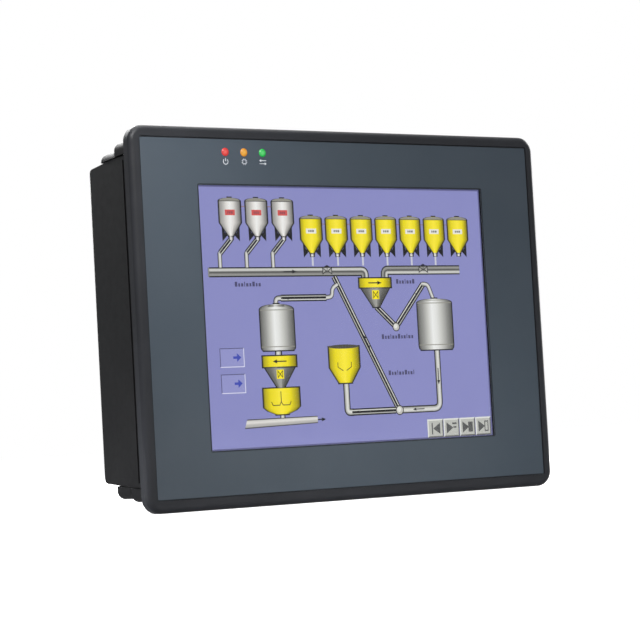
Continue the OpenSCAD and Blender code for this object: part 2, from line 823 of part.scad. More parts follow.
module power_plug() {
    color("#3f8f5c") difference() {
        translate([power_x, port_y, 0]) {
            block([-plug_w / 2, -plug_d / 2, plug_low], [plug_w / 2, plug_d / 2, plug_top]);
            block([-plug_w / 2 + 1, -plug_d / 2 + 1, plug_top - 1],
                [plug_w / 2 - 1, plug_d / 2 - 1, plug_top + plug_tongue]);
        }
        for (i = poles) translate([power_x + i * pole_pitch, 0, 0]) {
            // socket for the header's pin
            translate([0, port_y, 0])
                block([-0.9, -0.9, port_z], [0.9, 0.9, plug_top + plug_tongue + slack]);
            // room for the wire cage to rise
            block([-cage_w / 2 - cage_room, cage_y - cage_room, cage_z - cage_w / 2 - cage_room],
                [cage_w / 2 + cage_room, pocket_y, cage_z + cage_w / 2 + cage_room]);
            // wire entry from below
            translate([0, cage_y + 2.5, 0]) rod_z(wire_r, plug_low - slack, cage_z);
            // bore and head recess of the terminal screw
            translate([0, 0, cage_z]) {
                rod_y(terminal_screw_r + run_gap, pocket_y - slack, port_y + plug_d / 2);
                rod_y(2.15, port_y + plug_d / 2 - 0.9, port_y + plug_d / 2 + slack);
            }
        }
    }
}

// A captive screw: it turns in place and draws its cage up
module terminal_screw(i) {
    face = port_y + plug_d / 2;
    color(steel) translate([power_x + poles[i - 1] * pole_pitch, 0, cage_z]) difference() {
        union() {
            rod_y(terminal_screw_r, cage_y + cage_l - 1.3, face - 0.5);
            rod_y(1.85, face - 0.6, face + 0.6);
        }
        block([-2, face + 0.1, -0.3], [2, face + 2, 0.3]);
    }
}
module wire_cage(i) {
    color(brass) translate([power_x + poles[i - 1] * pole_pitch, cage_y, cage_z]) difference() {
        block([-cage_w / 2, 0, -cage_w / 2], [cage_w / 2, cage_l, cage_w / 2]);
        block([-cage_w / 2 + 0.5, 0.8, -cage_w], [cage_w / 2 - 0.5, cage_l - 1.3, cage_w]);
        rod_y(terminal_screw_r + run_gap, cage_l - 2, cage_l + slack);
    }
}

// A socket port: flange, body behind it and the keystone-shaped shell in front
module serial_port(x, w, pitch) {
    shell_w = pitch - 8.1;
    color(zinc) translate([x, port_y, 0]) difference() {
        union() {
            block([-w / 2, -flange_d / 2, port_z - flange_t], [w / 2, flange_d / 2, port_z]);
            block([-pitch / 2 + 3, -flange_d / 2 + 1, port_z - 0.1],
                [pitch / 2 - 3, flange_d / 2 - 1, port_z + 12]);
            block([-pitch / 2 + 5, io_back - port_y, port_z + 5], [pitch / 2 - 5, 0, port_z + 12]);
            translate([0, 0, port_z - flange_t - shell_l]) linear_extrude(shell_l + 0.1)
                polygon([[-shell_w / 2, shell_d / 2], [shell_w / 2, shell_d / 2],
                    [shell_w / 2 - 1.4, -shell_d / 2], [-shell_w / 2 + 1.4, -shell_d / 2]]);
        }
        for (s = [-1, 1]) translate([s * pitch / 2, 0, 0])
            rod_z(jack_hole_r + jack_gap, port_z - flange_t - slack, port_z + slack);
    }
}
module serial_port_25() { serial_port(wide_x, wide_w, wide_pitch); }
module serial_port_9() { serial_port(narrow_x, narrow_w, narrow_pitch); }

// Hexagonal posts that the plugs' thumb screws enter
module jack_posts() {
    seat = port_z - flange_t;
    color(steel) for (p = serial_ports, s = [-1, 1])
        translate([p[0] + s * p[1] / 2, port_y, 0]) difference() {
            union() {
                hex_z(jack_flats, seat - jack_l, seat);
                rod_z(jack_hole_r, seat - 0.5, port_in + 3);
            }
            rod_z(jack_hole_r, seat - jack_l - slack, seat - 1);
        }
}

module earth_stud() {
    nut_face = port_z - earth_nut_h;
    free_top = nut_face - earth_neck;
    color(brass) translate([earth_right, port_y, 0]) {
        rod_z(earth_r, free_top - earth_free, free_top);
        rod_z(earth_r - 0.4, free_top - slack, nut_face + slack);
        rod_z(earth_shank_r, nut_face, port_in + 1);
        hex_z(earth_flats, port_in, port_in + 2.8);
    }
}
module earth_nut() {
    color(brass) translate([earth_right, port_y, 0]) difference() {
        hex_z(earth_flats, port_z - earth_nut_h, port_z);
        rod_z(earth_shank_r + run_gap, -bezel_h, 0);
    }
}

// ---------- Card, battery, switches ----------

module card_slot() {
    half = card_w / 2 + card_gap;
    reach = half + slot_rail;
    inner = card_x - card_l;
    mouth = card_x - 4.5;
    top = card_y + card_t + 1;
    color("#4a4c50") translate([0, 0, card_z]) {
        block([inner - 6, io_back, -reach], [inner - 0.4, top, reach]);
        block([inner - 6, io_back, -reach], [mouth, card_y - card_gap, reach]);
        for (side = [-1, 1]) translate([0, 0, side * (half + slot_rail / 2)])
            block([inner - 6, io_back, -slot_rail / 2], [mouth, top, slot_rail / 2]);
    }
}

module memory_card() {
    half = card_w / 2;
    color("#6d7278") translate([card_x, card_y, card_z]) difference() {
        block([-card_l, 0, -half], [0, card_t, half]);
        // grooves along both edges, and one for the thumb
        for (side = [-1, 1]) translate([-card_l, card_t / 2, side * half])
            block([-slack, -0.6, -0.8], [26, 0.6, 0.8]);
        block([-2.4, card_t - 0.5, -8], [-1.2, card_t + slack, 8]);
    }
}

// The tray behind the service door, with cut-outs in its floor for the switches
flange_in = 0.7;
module service_tray() {
    half = bay_h / 2;
    color(jet) difference() {
        union() {
            block([bay_floor - bay_skin, bay_front - bay_skin, bay_z - half - bay_skin],
                [frame_x, bay_back + bay_skin, bay_z + half + bay_skin]);
            block([frame_x - bay_skin, frame_front - flange_in, frame_low - flange],
                [frame_x, frame_back + flange, frame_high + flange]);
        }
        block([bay_floor, bay_front, bay_z - half], [cover_w, bay_back, bay_z + half]);
        translate([0, bay_mid, dip_z])
            block([bay_floor - 2 * bay_skin, -dip_w / 2 - seat_gap, -dip_h / 2 - seat_gap],
                [bay_floor + slack, dip_w / 2 + seat_gap, dip_h / 2 + seat_gap]);
        translate([0, bay_mid, reset_z])
            rod_x(reset_r + seat_gap, bay_floor - 2 * bay_skin, bay_floor + slack);
    }
}

// A door that swings out about the pins at its rear edge
module card_door() {
    color("#303236") difference() {
        union() {
            block([door_in, door_front, door_low], [door_out, hinge_y, door_high]);
            translate([hinge_x, hinge_y, 0]) {
                rod_z(door_t / 2, door_low, door_high);
                rod_z(hinge_r, frame_low - pin_l + 0.3, frame_high + pin_l - 0.3);
            }
        }
        // finger notch in the free edge
        translate([door_out + 1.2, door_front, bay_z]) rod_z(2, -6, 6);
    }
}

cell_x = 20;
cell_z = 22;
module coin_cell() {
    color(steel) translate([cell_x, 0, cell_z]) rod_y(10, io_back + 1.5, io_back + 4.7);
}
module cell_holder() {
    color("#3a3c40") translate([cell_x, 0, cell_z]) difference() {
        rod_y(11.8, io_back, io_back + 4);
        rod_y(10.2, io_back + 1.3, io_back + 5);
        block([-4, io_back + 1.3, -13], [4, io_back + 5, -8]);
    }
}

function switch_z(i) = dip_z + (i - (switches + 1) / 2) * switch_pitch;
slider_low = bay_mid - slider_l / 2 - switch_travel / 2;
module dip_switch() {
    color("#b23b34") difference() {
        union() {
            block([io_right - 6, bay_mid - dip_w / 2, dip_z - dip_h / 2],
                [dip_face, bay_mid + dip_w / 2, dip_z + dip_h / 2]);
            block([io_right - 5, io_back, dip_z - dip_h / 2 + 1],
                [io_right - 1, bay_mid, dip_z + dip_h / 2 - 1]);
        }
        for (i = [1:switches]) translate([0, 0, switch_z(i)])
            block([dip_face - 1.6, slider_low - slider_gap, -slider_w / 2 - slider_gap],
                [dip_face + slack, slider_low + slider_l + switch_travel + slider_gap,
                    slider_w / 2 + slider_gap]);
    }
}
module dip_slider(i) {
    color("white") translate([0, 0, switch_z(i)])
        block([dip_face - 1.4, slider_low, -slider_w / 2],
            [dip_face + 0.9, slider_low + slider_l, slider_w / 2]);
}

module reset_switch() {
    color("#222326") translate([0, 0, reset_z]) difference() {
        union() {
            block([reset_back - 6, bay_mid - 3, -3], [reset_back, bay_mid + 3, 3]);
            block([io_right - 5, io_back, -2.5], [io_right - 1, bay_mid, 2.5]);
        }
        translate([0, bay_mid, 0]) rod_x(reset_r + run_gap, reset_back - 4, reset_back + slack);
    }
}
module reset_button() {
    color("#c8c9cc") translate([0, bay_mid, reset_z]) {
        rod_x(reset_r, reset_back - 2.6, bay_floor + 4.4);
        rod_x(2.4, bay_floor + 2.6, bay_floor + 4.4);
    }
}

// ---------- Clamps ----------

// Height of the housing's top (side 1) or underside (side -1)
function clamp_base(side) = side * housing_h / 2;

// Places a clamp piece drawn with its base at height 0, standing outward
module at_clamp(c) {
    translate([c[0] * clamp_x, 0, clamp_base(c[1])]) mirror([0, 0, c[1] > 0 ? 0 : 1]) children();
}
module clamp_brackets() {
    color(zinc) for (c = clamps) at_clamp(c) difference() {
        union() {
            block([-clamp_w / 2, clamp_y, 0], [clamp_w / 2, clamp_y + clamp_l, clamp_h]);
            block([-lug_w / 2, lug_y, -lug_l], [lug_w / 2, lug_y + lug_t, 0.1]);
        }
        translate([0, 0, clamp_rise]) rod_y(clamp_r + run_gap, clamp_y - slack, clamp_y + clamp_l + slack);
        for (side = [-1, 1]) translate([side * (clamp_w / 2), 0, clamp_h])
            block([-2.5, clamp_y - slack, -2.5], [2.5, clamp_y + clamp_l - 3, 2.5]);
    }
}
module clamp_pad(i) {
    color(brass) at_clamp(clamps[i - 1]) translate([0, 0, clamp_rise]) difference() {
        rod_y(pad_r, clamp_open, clamp_open + pad_t);
        rod_y(clamp_r + run_gap, clamp_tip - 0.3, clamp_open + pad_t + slack);
    }
}
module clamp_screw(i) {
    color(steel) at_clamp(clamps[i - 1]) translate([0, 0, clamp_rise]) difference() {
        union() {
            rod_y(clamp_r, clamp_tip, clamp_head + 0.1);
            rod_y(head_r, clamp_head, clamp_head + head_h);
        }
        block([-head_r - slack, clamp_head + head_h - 1, -0.4],
            [head_r + slack, clamp_head + head_h + slack, 0.4]);
    }
}

plate_w = 80;
plate_h = 45;
plate_t = 0.5;
plate_r = 2;
plate_x = 30;
plate_z = -18;
module rating_plate() {
    color("#c7cacd") translate([plate_x, 0, plate_z]) slab(depth - plate_t, depth)
        round_rect(plate_w, plate_h, plate_r);
}

// ---------- Parts ----------

front_bezel();
front_overlay();
touch_screen();
touch_gasket();
lcd_frame();
lcd_cell();
backlight_tray();
panel_seal();
red_lamp_lens();
amber_lamp_lens();
green_lamp_lens();
lamp_board();
main_housing();
rear_cover();
chassis_plate();
tie_posts();
main_board();
board_chips();
board_standoffs();
io_board();
inverter_board();
display_ribbon();
chassis_screws();
cover_screws();
power_header();
power_plug();
terminal_screw(1);  // terminal_screw_1
terminal_screw(2);  // terminal_screw_2
terminal_screw(3);  // terminal_screw_3
wire_cage(1);  // wire_cage_1
wire_cage(2);  // wire_cage_2
wire_cage(3);  // wire_cage_3
serial_port_25();
serial_port_9();
jack_posts();
card_slot();
memory_card();
service_tray();
card_door();
coin_cell();
cell_holder();
dip_switch();
dip_slider(1);  // dip_slider_1
dip_slider(2);  // dip_slider_2
dip_slider(3);  // dip_slider_3
dip_slider(4);  // dip_slider_4
reset_switch();
reset_button();
earth_stud();
earth_nut();
clamp_brackets();
clamp_pad(1);  // clamp_pad_1
clamp_pad(2);  // clamp_pad_2
clamp_pad(3);  // clamp_pad_3
clamp_pad(4);  // clamp_pad_4
clamp_screw(1);  // clamp_screw_1
clamp_screw(2);  // clamp_screw_2
clamp_screw(3);  // clamp_screw_3
clamp_screw(4);  // clamp_screw_4
rating_plate();
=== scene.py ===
import json
import math

import bmesh
import bpy
from mathutils import Euler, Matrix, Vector

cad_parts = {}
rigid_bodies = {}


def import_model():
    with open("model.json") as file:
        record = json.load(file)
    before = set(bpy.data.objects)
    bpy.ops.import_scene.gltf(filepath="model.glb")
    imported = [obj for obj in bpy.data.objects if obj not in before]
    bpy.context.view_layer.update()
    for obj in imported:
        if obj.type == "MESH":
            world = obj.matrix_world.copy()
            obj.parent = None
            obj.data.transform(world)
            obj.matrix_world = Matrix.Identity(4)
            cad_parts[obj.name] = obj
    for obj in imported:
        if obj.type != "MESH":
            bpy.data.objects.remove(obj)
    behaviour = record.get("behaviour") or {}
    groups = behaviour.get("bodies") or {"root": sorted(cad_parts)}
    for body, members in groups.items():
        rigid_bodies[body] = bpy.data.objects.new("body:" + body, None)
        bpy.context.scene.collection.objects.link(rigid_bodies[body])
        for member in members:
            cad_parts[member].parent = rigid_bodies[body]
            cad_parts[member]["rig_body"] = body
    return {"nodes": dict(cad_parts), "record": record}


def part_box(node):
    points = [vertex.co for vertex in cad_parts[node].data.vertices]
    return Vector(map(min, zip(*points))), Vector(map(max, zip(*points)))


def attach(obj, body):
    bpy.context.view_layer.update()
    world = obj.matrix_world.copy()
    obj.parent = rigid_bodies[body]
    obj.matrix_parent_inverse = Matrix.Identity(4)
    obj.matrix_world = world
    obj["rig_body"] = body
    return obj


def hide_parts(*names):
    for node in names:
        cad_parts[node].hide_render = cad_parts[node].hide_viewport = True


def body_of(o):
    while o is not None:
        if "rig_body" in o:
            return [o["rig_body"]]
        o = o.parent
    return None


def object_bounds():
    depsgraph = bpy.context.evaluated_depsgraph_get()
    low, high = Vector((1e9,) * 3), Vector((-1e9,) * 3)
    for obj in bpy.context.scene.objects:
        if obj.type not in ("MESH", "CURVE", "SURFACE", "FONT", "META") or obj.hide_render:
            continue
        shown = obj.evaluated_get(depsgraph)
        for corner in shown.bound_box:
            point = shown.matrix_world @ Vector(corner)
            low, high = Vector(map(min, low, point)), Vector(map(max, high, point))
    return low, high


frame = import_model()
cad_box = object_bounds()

# A panel-mount operator terminal. X runs to the right seen from the front, Y into the cabinet, Z up.
# Lengths are metres unless a name says mm, and everything stands in the CAD's own frame.

MM = 0.001
SCENE = bpy.context.scene

# The lit picture, drawn in millimetres from its top left corner
PICTURE_W = 211.2
PICTURE_H = 158.4
PICTURE_DROP = 0.15
PICTURE_LAYER = 0.012 * MM

# Threads of the clamp screws
CLAMP_THREAD_R = 1.5 * MM
CLAMP_PITCH = 0.5 * MM
CLAMP_HEAD = 2.4 * MM

# Depth of a serial port's flange, and the part of its half-width outside the shell
PORT_FLANGE = 12.5 * MM
PORT_EAR = 7.6 * MM


# ---------------------------------------------------------------- finishes


def paint(red, green, blue):
    """A colour as screens name it, 0 to 255, turned into the linear values that shaders take."""
    values = []
    for part in (red, green, blue):
        part = part / 255
        values.append(part / 12.92 if part <= 0.04045 else ((part + 0.055) / 1.055) ** 2.4)
    return (*values, 1.0)


class Finish:
    """A material under construction, with short calls for what most of the finishes share."""

    def __init__(self, name):
        self.material = bpy.data.materials.new(name)
        self.material.use_nodes = True
        self.tree = self.material.node_tree
        self.shader = self.tree.nodes["Principled BSDF"]
        self.place = self.add("ShaderNodeTexCoord").outputs["Object"]
        self.height = None

    def add(self, kind, **settings):
        node = self.tree.nodes.new(kind)
        for name, value in settings.items():
            setattr(node, name, value)
        return node

    def join(self, output, socket):
        self.tree.links.new(output, socket)

    def set(self, **values):
        """Sets the shader's own sockets; an underscore in a name stands for a space."""
        for name, value in values.items():
            self.shader.inputs[name.replace("_", " ")].default_value = value

    def stretched(self, x, y, z):
        """Object coordinates stretched along the axes, for brushed or drawn surfaces."""
        node = self.add("ShaderNodeMapping")
        node.inputs["Scale"].default_value = (x, y, z)
        self.join(self.place, node.inputs["Vector"])
        return node.outputs["Vector"]

    def noise(self, size, detail=3.0, vector=None, rough=0.55):
        """A cloudy pattern with lumps of the given size."""
        node = self.add("ShaderNodeTexNoise")
        node.inputs["Scale"].default_value = 1 / size
        node.inputs["Detail"].default_value = detail
        node.inputs["Roughness"].default_value = rough
        self.join(vector or self.place, node.inputs["Vector"])
        return node.outputs["Fac"]

    def cells(self, size, feature="F1", output="Distance", vector=None):
        """A cellular pattern with cells of the given size."""
        node = self.add("ShaderNodeTexVoronoi", feature=feature)
        node.inputs["Scale"].default_value = 1 / size
        self.join(vector or self.place, node.inputs["Vector"])
        return node.outputs[output]

    def spread(self, factor, low, high, start=0.3, end=0.7):
        """Turns the start-to-end part of a pattern into values from low to high."""
        node = self.add("ShaderNodeMapRange", clamp=True)
        node.inputs["From Min"].default_value = start
        node.inputs["From Max"].default_value = end
        node.inputs["To Min"].default_value = low
        node.inputs["To Max"].default_value = high
        self.join(factor, node.inputs["Value"])
        return node.outputs["Result"]

    def colours(self, factor, stops):
        """A colour ramp: stops is a list of (position, colour)."""
        node = self.add("ShaderNodeValToRGB")
        ramp = node.color_ramp
        while len(ramp.elements) < len(stops):
            ramp.elements.new(0.5)
        for element, (position, colour) in zip(ramp.elements, stops):
            element.position = position
            element.color = colour
        self.join(factor, node.inputs["Fac"])
        return node.outputs["Color"]

    def base(self, output):
        self.join(output, self.shader.inputs["Base Color"])

    def roughness(self, output):
        self.join(output, self.shader.inputs["Roughness"])

    def raised(self, pattern, depth, strength=1.0):
        """Adds a pattern of the given depth to the surface's relief."""
        node = self.add("ShaderNodeBump")
        node.inputs["Strength"].default_value = strength
        node.inputs["Distance"].default_value = depth
        self.join(pattern, node.inputs["Height"])
        if self.height:
            self.join(self.height, node.inputs["Normal"])
        self.height = node.outputs["Normal"]
        self.join(self.height, self.shader.inputs["Normal"])


def moulded(name, dark, light, low, high, grain_mm=0.45, depth_mm=0.012):
    """Injection-moulded plastic: a spark-eroded grain, faint flow marks and uneven sheen."""
    finish = Finish(name)
    flow = finish.noise(28 * MM, 4.0)
    finish.base(finish.colours(flow, [(0.32, dark), (0.68, light)]))
    finish.roughness(finish.spread(finish.noise(5 * MM, 3.0), low, high))
    finish.raised(finish.noise(grain_mm * MM, 2.0), depth_mm * MM)
    finish.raised(finish.cells(grain_mm * 0.6 * MM), depth_mm * 0.5 * MM)
    return finish


def bezel_plastic():
    """The front frame: grey-black plastic with a fine, slightly silky grain."""
    finish = moulded(
        "bezel_plastic", (0.017, 0.018, 0.021, 1), (0.021, 0.022, 0.026, 1),
        0.38, 0.45, 0.4, 0.006,
    )
    return finish.material


def housing_plastic():
    """The case behind: black plastic with a coarser grain than the front."""
    finish = moulded(
        "housing_plastic", (0.0065, 0.0065, 0.007, 1), (0.0085, 0.0085, 0.009, 1),
        0.43, 0.50, 0.5, 0.006,
    )
    finish.set(Specular_IOR_Level=0.34)
    return finish.material


def chip_plastic():
    return moulded(
        "chip_plastic", (0.010, 0.010, 0.011, 1), (0.016, 0.016, 0.017, 1),
        0.45, 0.6, 0.3, 0.01,
    ).material


def white_plastic():
    return moulded(
        "white_plastic", (0.70, 0.70, 0.67, 1), (0.78, 0.78, 0.75, 1),
        0.35, 0.45, 0.5, 0.008,
    ).material


def green_plastic():
    return moulded(
        "green_plastic", (0.015, 0.21, 0.085, 1), (0.022, 0.26, 0.11, 1),
        0.36, 0.46, 0.4, 0.012,
    ).material


def red_plastic():
    return moulded(
        "red_plastic", (0.42, 0.018, 0.012, 1), (0.50, 0.026, 0.018, 1),
        0.33, 0.43, 0.3, 0.008,
    ).material


def grey_plastic():
    return moulded(
        "grey_plastic", (0.20, 0.20, 0.20, 1), (0.26, 0.26, 0.255, 1),
        0.38, 0.48, 0.3, 0.01,
    ).material


def card_shell():
    return moulded(
        "card_shell", (0.055, 0.07, 0.10, 1), (0.07, 0.085, 0.12, 1),
        0.34, 0.44, 0.35, 0.008,
    ).material


def overlay_film():
    """Printed polyester film: grey-blue, with a fine velvet texture and a faint cloudiness."""
    finish = Finish("overlay_film")
    cloud = finish.noise(45 * MM, 3.0)
    finish.base(finish.colours(cloud, [(0.3, (0.045, 0.060, 0.077, 1)), (0.7, (0.051, 0.066, 0.083, 1))]))
    finish.roughness(finish.spread(finish.noise(9 * MM, 4.0), 0.38, 0.43))
    finish.raised(finish.noise(0.28 * MM, 2.0), 0.006 * MM)
    finish.raised(finish.cells(0.5 * MM), 0.003 * MM)
    return finish.material


def touch_glass():
    """The touch screen's glass: clear, with the very faint haze of its anti-glare face."""
    finish = Finish("touch_glass")
    finish.set(Base_Color=(0.97, 0.985, 0.98, 1), Transmission_Weight=1.0, IOR=1.46)
    finish.roughness(finish.spread(finish.noise(14 * MM, 4.0), 0.03, 0.07))
    return finish.material


def foam():
    finish = Finish("foam")
    pores = finish.cells(0.9 * MM)
    finish.base(finish.colours(pores, [(0.1, (0.012, 0.012, 0.013, 1)), (0.7, (0.045, 0.045, 0.047, 1))]))
    finish.roughness(finish.spread(finish.noise(3 * MM), 0.82, 0.95))
    finish.raised(pores, 0.2 * MM)
    return finish.material


def zinc_plate():
    """Zinc-plated sheet: fine rolling lines and a soft bluish spangle."""
    finish = Finish("zinc_plate")
    finish.set(Metallic=1.0)
    spangle = finish.cells(4 * MM, output="Color")
    tone = finish.noise(9 * MM, 3.0, vector=finish.stretched(1, 1, 3))
    mixed = finish.add("ShaderNodeMix", data_type="RGBA", blend_type="SOFT_LIGHT")
    mixed.inputs["Factor"].default_value = 0.12
    rolled = finish.colours(tone, [(0.3, (0.50, 0.51, 0.53, 1)), (0.7, (0.62, 0.62, 0.62, 1))])
    finish.join(rolled, mixed.inputs["A"])
    finish.join(spangle, mixed.inputs["B"])
    finish.base(mixed.outputs["Result"])
    finish.roughness(finish.spread(finish.noise(2 * MM, 4.0, vector=finish.stretched(1, 1, 8)), 0.28, 0.44))
    finish.raised(finish.noise(0.35 * MM, 2.0, vector=finish.stretched(1, 1, 10)), 0.004 * MM)
    return finish.material


def display_panel():
    """The unlit border of the display cell: black polariser over faint rows of picture cells."""
    finish = Finish("display_panel")
    rows = finish.add("ShaderNodeTexWave", wave_type="BANDS", bands_direction="Z")
    rows.inputs["Scale"].default_value = 20 / (0.33 * MM) / 63
    finish.join(finish.place, rows.inputs["Vector"])
    cells = [(0, (0.004, 0.004, 0.005, 1)), (1, (0.008, 0.008, 0.010, 1))]
    finish.base(finish.colours(rows.outputs["Fac"], cells))
    finish.roughness(finish.spread(finish.noise(12 * MM), 0.12, 0.2))
    return finish.material


def seal_rubber():
    finish = Finish("seal_rubber")
    tones = [(0.3, (0.010, 0.010, 0.010, 1)), (0.7, (0.02, 0.02, 0.019, 1))]
    finish.base(finish.colours(finish.noise(6 * MM), tones))
    finish.roughness(finish.spread(finish.noise(1.5 * MM), 0.68, 0.85))
    finish.raised(finish.noise(0.25 * MM), 0.02 * MM)
    return finish.material


def circuit_board():
    """Green solder mask over copper tracks that run at right angles."""
    finish = Finish("circuit_board")
    tracks = finish.add("ShaderNodeTexBrick")
    tracks.inputs["Color1"].default_value = (0.008, 0.085, 0.035, 1)
    tracks.inputs["Color2"].default_value = (0.010, 0.11, 0.045, 1)
    tracks.inputs["Mortar"].default_value = (0.022, 0.19, 0.075, 1)
    tracks.inputs["Scale"].default_value = 110
    tracks.inputs["Mortar Size"].default_value = 0.035
    turned = finish.add("ShaderNodeMapping")
    turned.inputs["Rotation"].default_value = (math.pi / 2, 0, 0)
    finish.join(finish.place, turned.inputs["Vector"])
    finish.join(turned.outputs["Vector"], tracks.inputs["Vector"])
    finish.base(tracks.outputs["Color"])
    finish.roughness(finish.spread(finish.noise(4 * MM), 0.28, 0.4))
    finish.raised(tracks.outputs["Fac"], 0.03 * MM)
    return finish.material


def metal(name, dark, light, low, high, lines=(1, 1, 8), depth_mm=0.004):
    """Machined metal: fine tool lines with uneven sheen."""
    finish = Finish(name)
    finish.set(Metallic=1.0)
    finish.base(finish.colours(finish.noise(4 * MM, 4.0), [(0.3, dark), (0.7, light)]))
    scratches = finish.noise(0.3 * MM, 3.0, vector=finish.stretched(*lines))
    finish.roughness(finish.spread(scratches, low, high))
    finish.raised(scratches, depth_mm * MM)
    return finish.material


def steel():
    return metal("steel", (0.52, 0.53, 0.55, 1), (0.66, 0.66, 0.67, 1), 0.22, 0.38)


def black_steel():
    return metal("black_steel", (0.035, 0.035, 0.038, 1), (0.06, 0.06, 0.062, 1), 0.32, 0.48)


def brass():
    return metal("brass", (0.60, 0.42, 0.16, 1), (0.74, 0.54, 0.24, 1), 0.24, 0.4)


def contact_gold():
    return metal("contact_gold", (0.80, 0.56, 0.20, 1), (0.90, 0.68, 0.30, 1), 0.18, 0.3, (1, 1, 1), 0.001)


def ribbon_film():
    """Flat film cable: an amber film with a row of copper conductors."""
    finish = Finish("ribbon_film")
    tracks = finish.add("ShaderNodeTexWave", wave_type="BANDS", bands_direction="X")
    tracks.inputs["Scale"].default_value = 1 / (20 * 0.16 * MM)
    finish.join(finish.place, tracks.inputs["Vector"])
    tones = [(0.35, (0.30, 0.13, 0.03, 1)), (0.65, (0.55, 0.30, 0.09, 1))]
    finish.base(finish.colours(tracks.outputs["Fac"], tones))
    finish.roughness(finish.spread(finish.noise(8 * MM), 0.25, 0.35))
    finish.raised(tracks.outputs["Fac"], 0.02 * MM)
    return finish.material


def label_foil():
    """The rating plate: satin foil brushed along its length."""
    finish = Finish("label_foil")
    finish.set(Metallic=0.4)
    brushed = finish.noise(0.6 * MM, 4.0, vector=finish.stretched(0.06, 1, 1))
    finish.base(finish.colours(brushed, [(0.3, (0.50, 0.50, 0.50, 1)), (0.7, (0.62, 0.62, 0.61, 1))]))
    finish.roughness(finish.spread(brushed, 0.3, 0.42))
    finish.raised(brushed, 0.003 * MM)
    return finish.material


def ink_for_print_and_painted_shade(name, colour):
    """Screen-printed ink: nearly flat, with the slight unevenness of a mesh print. The same ink also colours
    the painted shadow lines round the film.
    """
    finish = Finish(name)
    faint = tuple(part * 0.88 for part in colour[:3]) + (1,)
    finish.base(finish.colours(finish.noise(0.5 * MM, 2.0), [(0.25, faint), (0.6, colour)]))
    finish.roughness(finish.spread(finish.noise(1.2 * MM), 0.45, 0.6))
    return finish.material


def lamp_lens(name, node, body, glow, glow_and_painted_highlight, strength):
    """A lit lamp lens: tinted plastic that glows most round the lamp chip behind it, with a pale core that is
    partly that glow and partly a painted highlight.
    """
    finish = Finish(name)
    finish.set(Roughness=0.16, Coat_Weight=0.3, Coat_Roughness=0.08)
    low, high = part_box(node)
    size = (high[0] - low[0]) * 0.62
    # Painted highlight: the glow's centre sits a little left of and below the lens centre, so its pale core
    # falls where a highlight on the dome would be.
    centred = finish.add("ShaderNodeMapping", vector_type="TEXTURE")
    centred.inputs["Location"].default_value = (
        (low[0] + high[0]) / 2 - 0.45 * MM,
        low[1] + 0.5 * MM,
        (low[2] + high[2]) / 2 - 0.1 * MM,
    )
    centred.inputs["Scale"].default_value = (size, size, size)
    finish.join(finish.place, centred.inputs["Vector"])
    fall = finish.add("ShaderNodeTexGradient", gradient_type="SPHERICAL")
    finish.join(centred.outputs["Vector"], fall.inputs["Vector"])
    paler = tuple(part * 1.15 for part in body[:3]) + (1,)
    finish.base(finish.colours(finish.noise(0.8 * MM), [(0.3, body), (0.7, paler)]))
    # The lamp's own glow runs from the body colour out to a pale core, and that core is also a painted
    # highlight.
    lit = finish.colours(fall.outputs["Fac"], [(0.05, body), (0.45, glow), (0.85, glow_and_painted_highlight)])
    finish.join(lit, finish.shader.inputs["Emission Color"])
    finish.set(Emission_Strength=strength)
    return finish.material


def red_lens():
    return lamp_lens(
        "red_lens", "red_lamp_lens",
        paint(150, 26, 26), paint(212, 60, 55), paint(236, 144, 136),
        0.42,
    )


def amber_lens():
    return lamp_lens(
        "amber_lens", "amber_lamp_lens",
        paint(150, 92, 16), paint(215, 150, 38), paint(226, 202, 112),
        0.45,
    )


def green_lens():
    return lamp_lens(
        "green_lens", "green_lamp_lens",
        paint(14, 120, 44), paint(36, 186, 76), paint(136, 238, 156),
        0.46,
    )


def lit_picture():
    """The lit display: each drawn shape glows in its own colour, over black glass."""
    finish = Finish("lit_picture")
    drawn = finish.add("ShaderNodeAttribute", attribute_name="paint")
    finish.set(Base_Color=(0.004, 0.004, 0.004, 1), Roughness=0.5, Specular_IOR_Level=0.1)
    finish.set(Emission_Strength=1.04)
    cells = finish.noise(60 * MM, 2.0)
    evenness = finish.add("ShaderNodeMix", data_type="RGBA", blend_type="MULTIPLY")
    evenness.inputs["Factor"].default_value = 1.0
    finish.join(drawn.outputs["Color"], evenness.inputs["A"])
    backlight = finish.colours(cells, [(0.3, (0.97, 0.97, 0.975, 1)), (0.7, (1, 1, 1, 1))])
    finish.join(backlight, evenness.inputs["B"])
    finish.join(evenness.outputs["Result"], finish.shader.inputs["Emission Color"])
    return finish.material


FINISHES = {
    "bezel_plastic": bezel_plastic(),
    "overlay_film": overlay_film(),
    "touch_glass": touch_glass(),
    "foam": foam(),
    "zinc_plate": zinc_plate(),
    "display_panel": display_panel(),
    "white_plastic": white_plastic(),
    "seal_rubber": seal_rubber(),
    "red_lens": red_lens(),
    "amber_lens": amber_lens(),
    "green_lens": green_lens(),
    "circuit_board": circuit_board(),
    "housing_plastic": housing_plastic(),
    "steel": steel(),
    "black_steel": black_steel(),
    "chip_plastic": chip_plastic(),
    "brass": brass(),
    "ribbon_film": ribbon_film(),
    "green_plastic": green_plastic(),
    "card_shell": card_shell(),
    "red_plastic": red_plastic(),
    "grey_plastic": grey_plastic(),
    "label_foil": label_foil(),
}
SLOTS = {part["node"]: part["material_slot"] for part in frame["record"]["subparts"]}


def dress(piece, finish):
    """Gives a piece one finish all over."""
    piece.data.materials.clear()
    piece.data.materials.append(finish)


def place_piece(name, mesh, finish, body="root"):
    """Puts a finished mesh in the scene and lets it ride on a body."""
    piece = bpy.data.objects.new(name, mesh)
    SCENE.collection.objects.link(piece)
    if finish:
        dress(piece, finish)
    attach(piece, body)
    return piece


# ---------------------------------------------------------------- mouldings and machined parts


